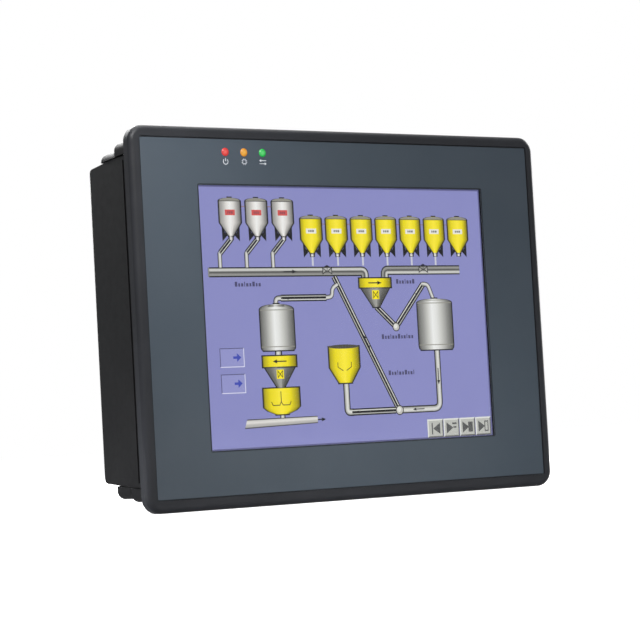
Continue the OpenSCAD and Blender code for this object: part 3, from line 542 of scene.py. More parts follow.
def round_shoulders(form, low, high, radius_mm):
    """Rounds the outer edges of a moulding's faces that look back into the cabinet."""
    near = 6 * MM
    edges = []
    for edge in form.edges:
        if len(edge.link_faces) != 2 or edge.calc_face_angle_signed() < math.radians(40):
            continue
        back, side = sorted(edge.link_faces, key=lambda face: -face.normal.y)
        middle = (edge.verts[0].co + edge.verts[1].co) / 2
        outside = middle.x > high[0] - near or middle.x < low[0] + near
        outside = outside or middle.z > high[2] - near or middle.z < low[2] + near
        looks_out = side.normal.x * middle.x + side.normal.z * middle.z > 0
        if back.normal.y > 0.99 and abs(side.normal.y) < 0.4 and outside and looks_out:
            edges.append(edge)
    bmesh.ops.bevel(
        form,
        geom=edges,
        offset=radius_mm * MM,
        segments=5,
        profile=0.5,
        affect="EDGES",
        clamp_overlap=False,
    )


def round_rear_corners(form, low, high, radius_mm):
    """Rounds the mitres where a cover's rounded rear edges meet at its four corners."""
    reach = 9 * MM
    edges = []
    for edge in form.edges:
        middle = (edge.verts[0].co + edge.verts[1].co) / 2
        at_corner = abs(middle.x) > high[0] - reach and abs(middle.z) > high[2] - 1.4 * reach
        if middle.y < high[1] - 4 * MM or not at_corner or len(edge.link_faces) != 2:
            continue
        if edge.calc_face_angle_signed() > math.radians(10):
            sideways = [abs(face.normal.x) > 0.02 for face in edge.link_faces]
            upright = [abs(face.normal.z) > 0.02 for face in edge.link_faces]
            if any(sideways) and any(upright) and edge.calc_length() < 3 * MM:
                edges.append(edge)
    bmesh.ops.bevel(
        form,
        geom=edges,
        offset=radius_mm * MM,
        segments=4,
        profile=0.5,
        affect="EDGES",
        clamp_overlap=False,
    )


def softened(node, edge_mm, shape=None, radius_mm=0, crease=32):
    """A copy of a CAD part with its sharp edges broken, standing in for it."""
    source = frame["nodes"][node]
    form = bmesh.new()
    form.from_mesh(source.data)
    bmesh.ops.remove_doubles(form, verts=form.verts, dist=0.001 * MM)
    bmesh.ops.dissolve_limit(form, angle_limit=math.radians(0.6), verts=form.verts, edges=form.edges)
    if shape:
        shape(form, *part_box(node), radius_mm)
    mesh = bpy.data.meshes.new(node + "_finished")
    form.to_mesh(mesh)
    form.free()
    mesh.shade_smooth()
    mesh.set_sharp_from_angle(angle=math.radians(crease))
    piece = place_piece(node + "_finished", mesh, FINISHES[SLOTS[node]], body_of(source)[0])
    if edge_mm:
        edge = piece.modifiers.new("broken_edges", "BEVEL")
        edge.width = edge_mm * MM
        edge.segments = 2
        edge.limit_method = "ANGLE"
        edge.angle_limit = math.radians(crease)
        edge.use_clamp_overlap = True
        edge.harden_normals = False
        even = piece.modifiers.new("flat_faces", "WEIGHTED_NORMAL")
        even.keep_sharp = True
        even.weight = 100
    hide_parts(node)
    return piece


# The parts seen from outside: the width of their broken edges, and what else is rounded, mm
SOFTENED = {
    "front_bezel": (0.25, None, 0),
    "main_housing": (0.3, round_shoulders, 1.8),
    "rear_cover": (0.3, round_rear_corners, 2.2),
    "card_door": (0.2, None, 0),
    "power_plug": (0.2, None, 0),
    "clamp_brackets": (0.15, None, 0),
    "red_lamp_lens": (0, None, 0),
    "amber_lamp_lens": (0, None, 0),
    "green_lamp_lens": (0, None, 0),
}


# ---------------------------------------------------------------- drawn and printed shapes


class Print:
    """Flat shapes laid on a face, drawn in millimetres to the right and down from a corner."""

    def __init__(self, left, top, face, layer, facing=1):
        self.left = left
        self.top = top
        self.face = face
        self.layer = layer
        self.facing = facing
        self.level = 0
        self.points = []
        self.faces = []
        self.paints = []

    def point(self, x, y, colour):
        reach = self.facing * x * MM
        lift = self.facing * self.level * self.layer
        self.points.append((self.left + reach, self.face - lift, self.top - y * MM))
        self.paints.append(colour)

    def area(self, outline, colour):
        """A filled outline."""
        turn = sum(a[0] * b[1] - b[0] * a[1] for a, b in zip(outline, outline[1:] + outline[:1]))
        if turn > 0:
            outline = outline[::-1]
        start = len(self.points)
        for x, y in outline:
            self.point(x, y, colour)
        self.faces.append(tuple(range(start, len(self.points))))

    def box(self, x0, y0, x1, y1, colour):
        self.area([(x0, y0), (x1, y0), (x1, y1), (x0, y1)], colour)

    def disc(self, x, y, radius, colour, steps=24):
        angles = [2 * math.pi * i / steps for i in range(steps)]
        self.area([(x + radius * math.cos(a), y + radius * math.sin(a)) for a in angles], colour)

    def stroke(self, route, width, colour):
        """A line of even width along a route."""
        self.band(offset_rows(route, width), [(0, 1), (1, 1)], colour)

    def band(self, rows, profile, colour):
        """A shape shaded across its width: each row is its two ends, the profile is (place, shade)."""
        start = len(self.points)
        across = len(profile)
        for (x0, y0), (x1, y1) in rows:
            for t, shade in profile:
                self.point(x0 + (x1 - x0) * t, y0 + (y1 - y0) * t, shaded(colour, shade))
        for i in range(len(rows) - 1):
            for j in range(across - 1):
                a = start + i * across + j
                quad = (a, a + across, a + across + 1, a + 1)
                self.faces.append(self.outward(quad))

    def outward(self, quad):
        """The quad's corners in the order that faces it away from the surface."""
        a, b, c = (Vector(self.points[i]) for i in quad[:3])
        turn = (b - a).cross(c - a)[1]
        return quad if turn * self.facing < 0 else quad[::-1]

    def mesh(self, name):
        mesh = bpy.data.meshes.new(name)
        mesh.from_pydata(self.points, [], self.faces)
        layer = mesh.color_attributes.new("paint", "FLOAT_COLOR", "POINT")
        for i, colour in enumerate(self.paints):
            layer.data[i].color = colour
        mesh.update()
        return mesh


def shaded(colour, shade):
    """Darker below 1, and lighter above it."""
    if shade <= 1:
        return (*(part * shade ** 2.2 for part in colour[:3]), 1)
    return (*(part + (1 - part) * (shade - 1) for part in colour[:3]), 1)


def offset_rows(route, width):
    """The two edges of an even band along a route, mitred at its corners."""
    rows = []
    count = len(route)
    for i, (x, y) in enumerate(route):
        before = Vector(route[max(i - 1, 0)])
        after = Vector(route[min(i + 1, count - 1)])
        here = Vector((x, y))
        steps = [v.normalized() for v in (here - before, after - here) if v.length > 0]
        along = sum(steps, Vector((0, 0))).normalized()
        side = Vector((along.y, -along.x))
        lean = max(0.4, abs(side.dot(Vector((steps[0].y, -steps[0].x)))))
        reach = side * (width / 2 / lean)
        rows.append((tuple(here + reach), tuple(here - reach)))
    return rows


def bent(route, radius, steps=6):
    """A route with its corners rounded."""
    result = [route[0]]
    for before, corner, after in zip(route, route[1:], route[2:]):
        corner = Vector(corner)
        into = (Vector(before) - corner)
        out = (Vector(after) - corner)
        cut = min(radius, into.length * 0.5, out.length * 0.5)
        start = corner + into.normalized() * cut
        end = corner + out.normalized() * cut
        for i in range(steps + 1):
            t = i / steps
            result.append(tuple(start.lerp(corner, t).lerp(corner.lerp(end, t), t)))
    result.append(route[-1])
    return result


# ---------------------------------------------------------------- the process picture

SKY = paint(139, 140, 196)
PALE_STEEL = paint(214, 213, 208)
MID_STEEL = paint(158, 157, 152)
YELLOW = paint(254, 234, 14)
WHITE_SILO = paint(228, 224, 220)
INK = paint(26, 26, 30)
NEAR_BLACK = paint(20, 19, 22)
CAP_GREY = paint(146, 144, 134)
LABEL_INK = paint(74, 72, 108)
BUTTON_FACE = paint(190, 190, 184)
BUTTON_LIGHT = paint(228, 228, 222)
BUTTON_DARK = paint(104, 104, 104)
BUTTON_INK = paint(88, 88, 88)

# Shades across a drawn shape, from its left or upper edge to the other: (place, shade)
TANK_SHADES = [
    (0, 0.4), (0.05, 0.56), (0.16, 0.72), (0.3, 0.96), (0.42, 1.6),
    (0.54, 1.35), (0.66, 0.95), (0.85, 0.66), (1, 0.4),
]
SILO_SHADES = [
    (0, 0.3), (0.04, 0.66), (0.16, 0.78), (0.36, 1.0), (0.5, 1.5),
    (0.66, 0.98), (0.86, 0.7), (0.95, 0.56), (1, 0.28),
]
YELLOW_SHADES = [
    (0, 0.34), (0.04, 0.7), (0.2, 0.93), (0.5, 1.04), (0.74, 0.95),
    (0.86, 0.76), (0.96, 0.58), (1, 0.28),
]
CONE_SHADES = [(0, 0.45), (0.2, 0.72), (0.42, 1.0), (0.55, 1.05), (0.75, 0.7), (1, 0.45)]
HEADER_SHADES = [
    (0, 0.14), (0.11, 0.14), (0.13, 0.8), (0.26, 1.0), (0.38, 0.88), (0.45, 0.46),
    (0.57, 0.42), (0.66, 0.66), (0.82, 0.72), (0.87, 0.5), (0.89, 0.14), (1, 0.14),
]
LINED_SHADES = [
    (0, 0.1), (0.18, 0.1), (0.2, 1.0), (0.34, 1.05), (0.36, 0.1), (0.65, 0.1),
    (0.67, 0.84), (0.8, 0.84), (0.82, 0.1), (1, 0.1),
]
TUBE_SHADES = [
    (0, 0.15), (0.13, 0.2), (0.17, 0.8), (0.38, 1.2), (0.55, 1.02),
    (0.8, 0.72), (0.86, 0.2), (1, 0.15),
]
CONVEYOR_SHADES = [
    (0, 0.3), (0.1, 0.35), (0.14, 0.9), (0.4, 1.0), (0.6, 0.84),
    (0.86, 0.76), (0.9, 0.35), (1, 0.3),
]


def pipe(art, route, width, shades):
    """A pale steel pipe along a route."""
    art.band(offset_rows(route, width), shades, PALE_STEEL)


def arrow(art, tail, tip, size=1.0, colour=INK):
    """A thin shaft with a solid head."""
    tail = Vector(tail)
    tip = Vector(tip)
    along = (tip - tail).normalized()
    side = Vector((along.y, -along.x))
    neck = tip - along * 3.2 * size
    art.stroke([tuple(tail), tuple(neck)], 0.7 * size, colour)
    art.area([tuple(tip), tuple(neck + side * 1.2 * size), tuple(neck - side * 1.2 * size)], colour)


def drum_rows(x, half, apex, shoulder, foot, dip=0.0):
    """Rows of a round-topped drum, with an optional sagging bottom."""
    rows = []
    for i in range(7):
        share = math.sin(math.pi / 2 * i / 6)
        reach = half * (0.15 + 0.85 * share)
        y = shoulder - (shoulder - apex) * math.cos(math.pi / 2 * i / 6)
        rows.append(((x - reach, y), (x + reach, y)))
    rows.append(((x - half, foot), (x + half, foot)))
    for i in range(1, 5):
        turn = math.pi / 2 * i / 4
        if dip:
            y = foot + dip * math.sin(turn)
            reach = half * (0.9 + 0.1 * math.cos(turn))
            rows.append(((x - reach, y), (x + reach, y)))
    return rows


def outlined(art, rows, shades, colour, line=0.75):
    """A shaded shape with a dark line round it."""
    outer = [((a[0] - line, a[1]), (b[0] + line, b[1])) for a, b in rows]
    first = tuple((x, y - line) for x, y in outer[0])
    last = tuple((x, y + line) for x, y in outer[-1])
    art.band([first, *outer, last], [(0, 1), (1, 1)], NEAR_BLACK)
    art.level += 1
    art.band(rows, shades, colour)
    art.level -= 1


def tank(art, x, half, apex, shoulder, foot, dip):
    """A steel tank with a rim line under its top and a shaded band at its foot."""
    outlined(art, drum_rows(x, half, apex, shoulder, foot, dip), TANK_SHADES, PALE_STEEL)
    art.level += 2
    art.stroke([(x - half, shoulder + 0.3), (x + half, shoulder + 0.3)], 0.5, CAP_GREY)
    art.stroke([(x - half, foot), (x + half, foot)], 0.5, CAP_GREY)
    art.stroke([(x - half * 0.5, apex + 0.9), (x + half * 0.5, apex + 0.9)], 0.4, CAP_GREY)
    art.level -= 2


def dome(x, half, apex, shoulder):
    """The outline of a drum's rounded top."""
    angles = [math.pi * i / 16 for i in range(17)]
    return [(x + half * math.cos(a), shoulder - (shoulder - apex) * math.sin(a)) for a in angles]


def silo_legs(art, x, y, reach):
    """The dark frame on either side of a silo's cone."""
    for side in (-1, 1):
        leg = [(reach, 0), (reach - 0.2, 9.4), (reach - 1.4, 8.2), (reach - 4.1, 5.6), (reach - 2.2, 4.2)]
        art.area([(x + side * a, y + b) for a, b in leg], NEAR_BLACK)


def silo(art, x, apex, half, foot, cone, tip, outlet, colour, shades):
    """A silo: domed drum, cone, outlet and legs."""
    silo_legs(art, x, foot + 1.7, half - 1.2)
    art.level += 1
    spout = [((x - 1.5, cone), (x + 1.5, cone)), ((x - 1.5, outlet), (x + 1.5, outlet))]
    outlined(art, spout, TUBE_SHADES, WHITE_SILO, 0.3)
    art.level += 1
    rows = drum_rows(x, half, apex, apex + 2, foot)
    rows.append(((x - tip, cone), (x + tip, cone)))
    outlined(art, rows, shades, colour)
    art.level += 2
    art.area(dome(x, half - 0.3, apex + 0.05, apex + 1.7), CAP_GREY)
    art.stroke([(x - half, apex + 1.9), (x + half, apex + 1.9)], 0.35, NEAR_BLACK)
    art.level -= 4


def tag(art, x, y, wide, high, colour, ink):
    """A silo's number plate, with blank bars in place of its number."""
    art.level += 5
    art.box(x - wide, y - high, x + wide, y + high, colour)
    art.level += 1
    for start, end in ((-0.55, -0.3), (-0.2, 0.1), (0.2, 0.55)):
        art.box(x + wide * start, y - high * 0.42, x + wide * end, y + high * 0.42, ink)
    art.level -= 6


def white_silos(art):
    """Three white silos with their bent drop pipes."""
    for i in range(3):
        x = 22 + 18.75 * i
        if i < 2:
            art.stroke([(x + 7, 12.5), (x + 11.8, 12.5)], 0.6, paint(150, 122, 130))
        art.level += 1
        pipe(art, [(x + 0.1, 32), (x - 8.4, 40.8)], 3.6, LINED_SHADES)
        pipe(art, [(x - 8.7, 40.2), (x - 8.7, 49.4)], 3, TUBE_SHADES)
        art.level -= 1
        silo(art, x, 7.4, 7.5, 22.5, 30.4, 1.6, 32.8, WHITE_SILO, SILO_SHADES)
        tag(art, x, 16.2, 3.5, 1.7, paint(210, 86, 84), paint(150, 76, 84))
        art.level += 3
        arrow(art, (x - 1.4, 33.4), (x - 6.6, 38.8), 0.7)
        art.level -= 3


def yellow_silos(art):
    """Seven yellow silos with their thin drop pipes."""
    for i in range(7):
        x = 79.7 + 18.75 * i
        if i < 6:
            art.stroke([(x + 7, 22.9), (x + 11.8, 22.9)], 0.6, paint(150, 122, 130))
            art.stroke([(x, 42.4), (x, 48.6)], 1.3, paint(205, 205, 214))
        silo(art, x, 17.8, 7.7, 32.5, 40.8, 1.4, 42.9, YELLOW, YELLOW_SHADES)
        tag(art, x, 27.2, 3.75, 1.5, paint(236, 234, 226), paint(120, 118, 110))


def valve(art, x, y):
    """A bow-tie valve with its small actuator."""
    art.stroke([(x, y - 0.4), (x, y - 2.8)], 0.5, INK)
    art.area([(x - 2.2, y - 2.6), (x, y - 3.6), (x + 2.2, y - 2.6)], INK)
    for side in (-1, 1):
        art.area([(x, y), (x + side * 3.6, y - 2.3), (x + side * 3.6, y + 2.3)], INK)
    art.level += 1
    for side in (-1, 1):
        art.area([(x + side * 0.9, y), (x + side * 3.1, y - 1.4), (x + side * 3.1, y + 1.4)], MID_STEEL)
    art.level -= 1


def header_pipes(art):
    """The two long header pipes, their elbows, valves and flow arrow."""
    pipe(art, bent([(5.2, 52.2), (118, 52.2), (118, 57)], 3.6), 6, HEADER_SHADES)
    right = bent([(192, 51.7), (133.2, 51.7), (133.2, 57)], 3.6)
    pipe(art, right, 5.9, HEADER_SHADES[::-1])
    art.level += 1
    art.band(offset_rows([(5.0, 49.4), (5.0, 55)], 0.9), TUBE_SHADES, MID_STEEL)
    arrow(art, (58, 52.1), (67.5, 52.1), 1.0)
    valve(art, 90, 51.8)
    valve(art, 163.3, 51.3)
    art.level -= 1


def hopper(art, x, top, half, bar, cone, tip, arrow_way):
    """A yellow feed bar over a grey cone with a yellow gate mark."""
    cone_rows = [((x - half + 1, top + bar), (x + half - 1, top + bar)), ((x - tip, cone), (x + tip, cone))]
    outlined(art, cone_rows, CONE_SHADES, MID_STEEL)
    art.level += 1
    bar_rows = [((x - half, top), (x + half, top)), ((x - half, top + bar), (x + half, top + bar))]
    outlined(art, bar_rows, YELLOW_SHADES, YELLOW)
    art.level += 2
    middle = top + bar / 2
    arrow(art, (x - 5 * arrow_way, middle), (x + 5 * arrow_way, middle), 1.0)
    gate = top + bar + 1.8
    art.box(x - 2.6, gate, x + 2.6, gate + 5.6, YELLOW)
    art.level += 1
    middle = gate + 2.8
    ends = [(x - 1.7, gate + 0.8), (x + 1.7, gate + 4.8), (x - 1.7, gate + 4.8), (x + 1.7, gate + 0.8)]
    art.stroke([(x, middle), ends[0], ends[2], (x, middle)], 0.45, INK)
    art.stroke([(x, middle), ends[3], ends[1], (x, middle)], 0.45, INK)
    art.level -= 4


def node_ball(art, x, y, radius):
    """A round junction where pipes meet."""
    art.disc(x, y, radius * 1.08, paint(58, 56, 56))
    art.level += 1
    art.disc(x, y, radius * 0.86, paint(196, 194, 188))
    art.level += 1
    art.disc(x - radius * 0.15, y - radius * 0.15, radius * 0.55, paint(228, 226, 220))
    art.level -= 2


def vacuum_line(art):
    """The centre hopper and its pipes to the right-hand tank."""
    pipe(art, [(125.3, 74.4), (139.7, 87.3)], 4.1, LINED_SHADES)
    pipe(art, [(139.7, 87.3), (162.4, 60.6)], 4.1, LINED_SHADES)
    pipe(art, bent([(161.5, 60.6), (166, 60.8), (169.9, 70.5)], 3), 3, TUBE_SHADES)
    art.level += 1
    node_ball(art, 139.7, 87.3, 2.6)
    hopper(art, 125.4, 56.7, 12.1, 5.6, 74.6, 2.4, 1)
    arrow(art, (129.5, 78.5), (134.3, 82.7), 0.7)
    arrow(art, (153.3, 71), (158, 65.5), 0.8)
    art.level -= 1


def return_line(art):
    """The long sloping pipe that comes back to the header."""
    pipe(art, [(94.7, 55.2), (138.3, 138.8)], 4.1, LINED_SHADES)
    art.level += 1
    arrow(art, (117.6, 98), (114.2, 91.6), 0.9)
    arrow(art, (116.4, 95.6), (119, 100.8), 0.7)
    art.level -= 1


def left_line(art):
    """The bent pipe, steel tank, hopper, mixer and conveyor on the left."""
    upper = bent([(97.2, 60), (92.9, 62.5), (92.6, 67.8), (87.9, 68.2)], 3)
    pipe(art, upper, 3, TUBE_SHADES[::-1])
    pipe(art, bent([(56, 68.2), (51.2, 68.2), (51.2, 73)], 3), 3.4, TUBE_SHADES[::-1])
    pipe(art, [(88.3, 68.2), (55, 68.2)], 4.3, LINED_SHADES)
    art.band([((48.7, 99), (53.7, 99)), ((48.7, 104), (53.7, 104))], TUBE_SHADES, PALE_STEEL)
    art.level += 1
    arrow(art, (76, 68.2), (58, 68.4), 0.8)
    tank(art, 51.4, 12.0, 71.8, 75, 97.6, 2.2)
    art.level += 1
    art.level += 1
    art.band([((46, 72.2), (56.5, 72.2)), ((45, 73.4), (57.5, 73.4))], TANK_SHADES, MID_STEEL)
    hopper(art, 51.6, 103.3, 12.1, 6.4, 122.5, 2.5, -1)
    art.level -= 1
    mixer(art)
    art.level -= 2


def mixer(art):
    """The yellow mixing vessel with its two paddles, over the conveyor."""
    belt = offset_rows([(26.4, 142.9), (77, 142.7)], 4.4)
    belt[0] = (belt[0][0], (belt[0][1][0] - 1.9, belt[0][1][1] + 1.2))
    art.band(belt, CONVEYOR_SHADES, WHITE_SILO)
    art.band([((50, 137), (50 + 3.7, 137)), ((50, 141), (53.7, 141))], TUBE_SHADES, PALE_STEEL)
    arrow(art, (77, 142.8), (83.2, 142.8), 1.0)
    art.level += 1
    rows = [((38.7, 122.8), (64.7, 122.8)), ((38.7, 134.3), (64.7, 134.3))]
    rows.append(((41.5, 136.4), (61.9, 136.4)))
    rows.append(((47.2, 138.5), (56.2, 138.5)))
    outlined(art, rows, YELLOW_SHADES, YELLOW)
    art.level += 2
    art.stroke([(51.3, 124.6), (51.3, 131)], 0.5, INK)
    for side in (-1, 1):
        route = [(51.3, 131), (51.3 + side * 1.2, 133), (51.3 + side * 6, 133), (51.3 + side * 7.1, 130.8)]
        art.stroke(route, 0.5, INK)
    art.level -= 3


def middle_bin(art):
    """The yellow mixing bin and the pipe from it to the junction."""
    pipe(art, bent([(99.4, 120), (99.4, 139.4), (104, 139.4)], 4.6), 4.6, TUBE_SHADES)
    art.level += 1
    pipe(art, [(102.8, 139.4), (136, 139.4)], 4.4, LINED_SHADES)
    rows = [((87.8, 98.8), (110.3, 98.8)), ((87.8, 111.7), (110.3, 111.7)), ((94.2, 121.1), (103.9, 121.1))]
    outlined(art, rows, YELLOW_SHADES, YELLOW)
    art.level += 2
    ring = [2 * math.pi * i / 24 for i in range(24)]
    art.area([(99.05 + 11.25 * math.cos(a), 98.7 + 1.3 * math.sin(a)) for a in ring], paint(76, 74, 66))
    arrow(art, (119, 139.4), (105.5, 139.4), 0.8)
    for side in (-1, 1):
        outer = 99.05 + side * 5
        art.stroke([(outer, 108.3), (outer, 111.3), (99.05 + side * 1.2, 113.6)], 0.45, INK)
    art.level -= 3


def right_line(art):
    """The right-hand tank and its pipe down to the junction."""
    route = bent([(170.4, 100), (170.4, 139.4), (141, 139.4)], 4.6)
    pipe(art, route, 4.6, TUBE_SHADES[::-1])
    art.level += 1
    tank(art, 170.35, 13.4, 70, 72.4, 99.2, 3)
    art.level += 1
    arrow(art, (170.4, 114), (170.4, 124.6), 0.9)
    arrow(art, (158, 139.4), (149, 139.4), 0.8)
    node_ball(art, 138.8, 139.5, 2.9)
    art.level -= 2


def page_buttons(art):
    """Two square buttons with blue arrows."""
    for y in (97.7, 113.3):
        art.box(9.7, y, 26.7, y + 11.5, paint(148, 149, 203))
        art.level += 1
        art.stroke([(9.9, y + 11.3), (9.9, y + 0.2), (26.5, y + 0.2)], 0.5, paint(84, 84, 124))
        art.stroke([(26.5, y + 0.2), (26.5, y + 11.3), (9.9, y + 11.3)], 0.5, paint(222, 222, 240))
        middle = y + 5.7
        art.stroke([(19, middle), (22.4, middle)], 1.5, paint(62, 74, 178))
        art.area([(24.6, middle), (21.6, middle - 2.6), (21.6, middle + 2.6)], paint(62, 74, 178))
        art.level -= 1


def step_buttons(art):
    """Four grey buttons with plain step marks."""
    for i in range(4):
        x = 159.6 + 12.7 * i
        art.box(x, 146.3, x + 12.4, 157.9, BUTTON_DARK)
        art.level += 1
        art.area([(x, 157.9), (x, 146.3), (x + 12.4, 146.3), (x + 11.5, 147.2), (x + 0.9, 157)], BUTTON_LIGHT)
        art.level += 1
        art.box(x + 0.9, 147.2, x + 11.5, 157, BUTTON_FACE)
        art.level += 1
        step_mark(art, x, i)
        art.level -= 3


def step_mark(art, x, kind):
    """The mark on a step button: a bar and a triangle in four arrangements."""
    if kind == 0:
        art.box(x + 3.2, 148.6, x + 4.1, 155.8, BUTTON_INK)
        art.area([(x + 4.4, 152.2), (x + 9.8, 148.6), (x + 9.8, 155.8)], BUTTON_INK)
        return
    art.area([(x + 7.4, 152.2), (x + 2.2, 148.6), (x + 2.2, 155.8)], BUTTON_INK)
    if kind == 1:
        art.box(x + 6.8, 149, x + 10.3, 150.1, BUTTON_INK)
        art.box(x + 7.6, 151.4, x + 10, 152.4, BUTTON_INK)
    if kind == 2:
        art.box(x + 6.8, 149, x + 10.4, 155.4, BUTTON_INK)
    if kind == 3:
        art.box(x + 7.1, 148.8, x + 10.3, 155.6, BUTTON_INK)
        art.level += 1
        art.box(x + 7.8, 149.6, x + 9.6, 154.8, BUTTON_FACE)
        art.level -= 1


def blank_label(art, start, end, y):
    """A caption as a row of blank blocks."""
    x = start
    widths = (1.7, 1.2, 1.5, 0.6, 1.6, 1.3)
    i = 0
    while x + widths[i % 6] < end:
        tall = 2.9 if i % 6 in (0, 3) else 2.0
        art.box(x, y + 1.4 - tall, x + widths[i % 6], y + 1.4, LABEL_INK)
        x += widths[i % 6] + 0.75
        i += 1


def process_picture():
    """The lit picture of a mixing plant, as one mesh of coloured shapes."""
    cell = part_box("lcd_cell")
    left = -PICTURE_W / 2 * MM
    top = (PICTURE_H / 2 - PICTURE_DROP) * MM
    art = Print(left, top, cell[0][1] - 0.02 * MM, PICTURE_LAYER)
    art.box(0, 0, PICTURE_W, PICTURE_H, paint(92, 92, 138))
    art.level = 1
    art.box(0.9, 0.9, PICTURE_W - 0.9, PICTURE_H - 0.9, SKY)
    art.level = 2
    header_pipes(art)
    return_line(art)
    art.level = 4
    left_line(art)
    vacuum_line(art)
    art.level = 4
    middle_bin(art)
    art.level = 6
    right_line(art)
    art.level = 2
    white_silos(art)
    yellow_silos(art)
    page_buttons(art)
    step_buttons(art)
    for start, end, y in ((22.8, 42, 59.5), (141.7, 156.7, 58.8), (128.3, 154, 93.3), (132, 153.3, 116)):
        blank_label(art, start, end, y)
    place_piece("process_picture", art.mesh("process_picture"), lit_picture(), "root")


# ---------------------------------------------------------------- printed legends


def lamp_legends():
    """Marks under the three lamps: a power ring, a processor and a two-way arrow."""
    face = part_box("front_overlay")[0][1]
    ink = ink_for_print_and_painted_shade("legend_ink", paint(196, 199, 205))
    centres = []
    for node in ("red_lamp_lens", "amber_lamp_lens", "green_lamp_lens"):
        low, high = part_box(node)
        centres.append((low[0] + high[0]) / 2 / MM)
    art = Print(0, 93.4 * MM, face, 0.02 * MM)
    art.level = 1
    power_mark(art, centres[0])
    processor_mark(art, centres[1])
    link_mark(art, centres[2])
    place_piece("lamp_legends", art.mesh("lamp_legends"), ink, "root")


def power_mark(art, x):
    """A broken ring with a short bar in its gap."""
    white = paint(255, 255, 255)
    angles = [math.radians(-50 + 280 * i / 18) for i in range(19)]
    art.stroke([(x + 1.65 * math.cos(a), 0.1 + 1.65 * math.sin(a)) for a in angles], 0.4, white)
    art.stroke([(x, -2.0), (x, -0.1)], 0.4, white)


def processor_mark(art, x):
    """A square with short legs on its four sides."""
    white = paint(255, 255, 255)
    half = 1.15
    left = x - half
    right = x + half
    start = (x, half)
    square = [start, (left, half), (left, -half), (right, -half), (right, half), start]
    art.stroke(square, 0.36, white)
    for side in (-1, 1):
        for step in (-0.55, 0.55):
            art.stroke([(x + side * half, step), (x + side * 2, step)], 0.3, white)
            art.stroke([(x + step, side * half), (x + step, side * 2)], 0.3, white)


def link_mark(art, x):
    """Two arrows, one each way."""
    white = paint(255, 255, 255)
    for side in (-1, 1):
        y = side * 0.95
        art.stroke([(x - side * 2.5, y), (x + side * 1.2, y)], 0.38, white)
        art.area([(x + side * 2.6, y), (x + side * 1.2, y - 0.85), (x + side * 1.2, y + 0.85)], white)


def painted_edge_shadows():
    """Painted shadow: the dark lines where the film meets the rim and where it is cut out round the picture,
    standing in for the shade in those gaps.
    """
    low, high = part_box("front_overlay")
    art = Print(0, 0, low[1], 0.01 * MM)
    art.level = 1
    line = paint(255, 255, 255)
    inset = 0.3
    edges = [(low[0] / MM + inset, high[0] / MM - inset, -high[2] / MM + inset, -low[2] / MM - inset)]
    half_w = PICTURE_W / 2 + 0.5
    half_h = PICTURE_H / 2 + 0.5
    edges.append((-half_w, half_w, PICTURE_DROP - half_h, PICTURE_DROP + half_h))
    # Both rings are painted shadow: one for the shade in the gap at the rim, one for the shade along the
    # window's cut edge.
    for left, right, top, bottom in edges:
        corners = [(left, top), (right, top), (right, bottom), (left, bottom), (left, top)]
        start = ((left + right) / 2, top)
        art.stroke(bent([start, *corners[1:4], corners[0], start], 1.2), 0.55, line)
    # Near-black ink that gives these painted shadow lines their colour.
    ink = ink_for_print_and_painted_shade("painted_shadow_ink", (0.006, 0.006, 0.008, 1))
    place_piece("painted_edge_shadows", art.mesh("painted_edge_shadows"), ink, "root")


def rating_marks():
    """Blank boxes and rules on the rating plate, with no words or numbers."""
    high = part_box("rating_plate")[1]
    art = Print(high[0], high[2], high[1], 0.02 * MM, -1)
    art.level = 1
    ink = paint(20, 20, 22)
    art.stroke([(3, 3), (77, 3), (77, 42), (3, 42), (3, 3)], 0.4, ink)
    for y in (11, 19, 27):
        art.stroke([(3, y), (77, y)], 0.3, ink)
    for x in (30, 54):
        art.stroke([(x, 11), (x, 27)], 0.3, ink)
    for row in range(3):
        for column, (start, end) in enumerate(((5, 22), (32, 48), (56, 70))):
            y = 5 + 8 * row
            art.box(start, y, end - 3 * row, y + 1.1, ink)
            art.box(start, y + 2.6, end - 6 + column, y + 3.4, ink)
    for i in range(26):
        art.box(6 + i * 1.15, 30, 6 + i * 1.15 + (0.35 + 0.3 * (i % 3)), 38, ink)
    art.stroke([(50, 31), (58, 31), (58, 38.5), (50, 38.5), (50, 31)], 0.35, ink)
    art.disc(66, 34.8, 3.2, ink)
    art.level = 2
    art.disc(66, 34.8, 2.8, paint(190, 190, 190))
    place_piece("rating_marks", art.mesh("rating_marks"), printed_plate(), "root")


def printed_plate():
    """The plate's print: each mark takes its own drawn colour."""
    finish = Finish("plate_print")
    drawn = finish.add("ShaderNodeAttribute", attribute_name="paint")
    finish.base(drawn.outputs["Color"])
    finish.roughness(finish.spread(finish.noise(1.2 * MM), 0.4, 0.55))
    return finish.material


# ---------------------------------------------------------------- repeated details, grown by node trees


def new_tree(name):
    tree = bpy.data.node_groups.new(name, "GeometryNodeTree")
    tree.interface.new_socket(name="Geometry", in_out="OUTPUT", socket_type="NodeSocketGeometry")
    tree.nodes.new("NodeGroupInput").name = "sizes"
    tree.nodes.new("NodeGroupOutput").name = "result"
    return tree


def tree_input(tree, name, kind, value=None):
    """A named input of a tree, and its output on the tree's input node."""
    socket = tree.interface.new_socket(name=name, in_out="INPUT", socket_type="NodeSocket" + kind)
    if value is not None:
        socket.default_value = value
    return tree.nodes["sizes"].outputs[name]


def tree_node(tree, kind, values=None, **settings):
    """A node of a tree: values holds a plain value or an output for each of its inputs."""
    node = tree.nodes.new("GeometryNode" + kind)
    for name, value in settings.items():
        setattr(node, name, value)
    for name, value in (values or {}).items():
        if isinstance(value, bpy.types.NodeSocket):
            tree.links.new(value, node.inputs[name])
        else:
            node.inputs[name].default_value = value
    return node


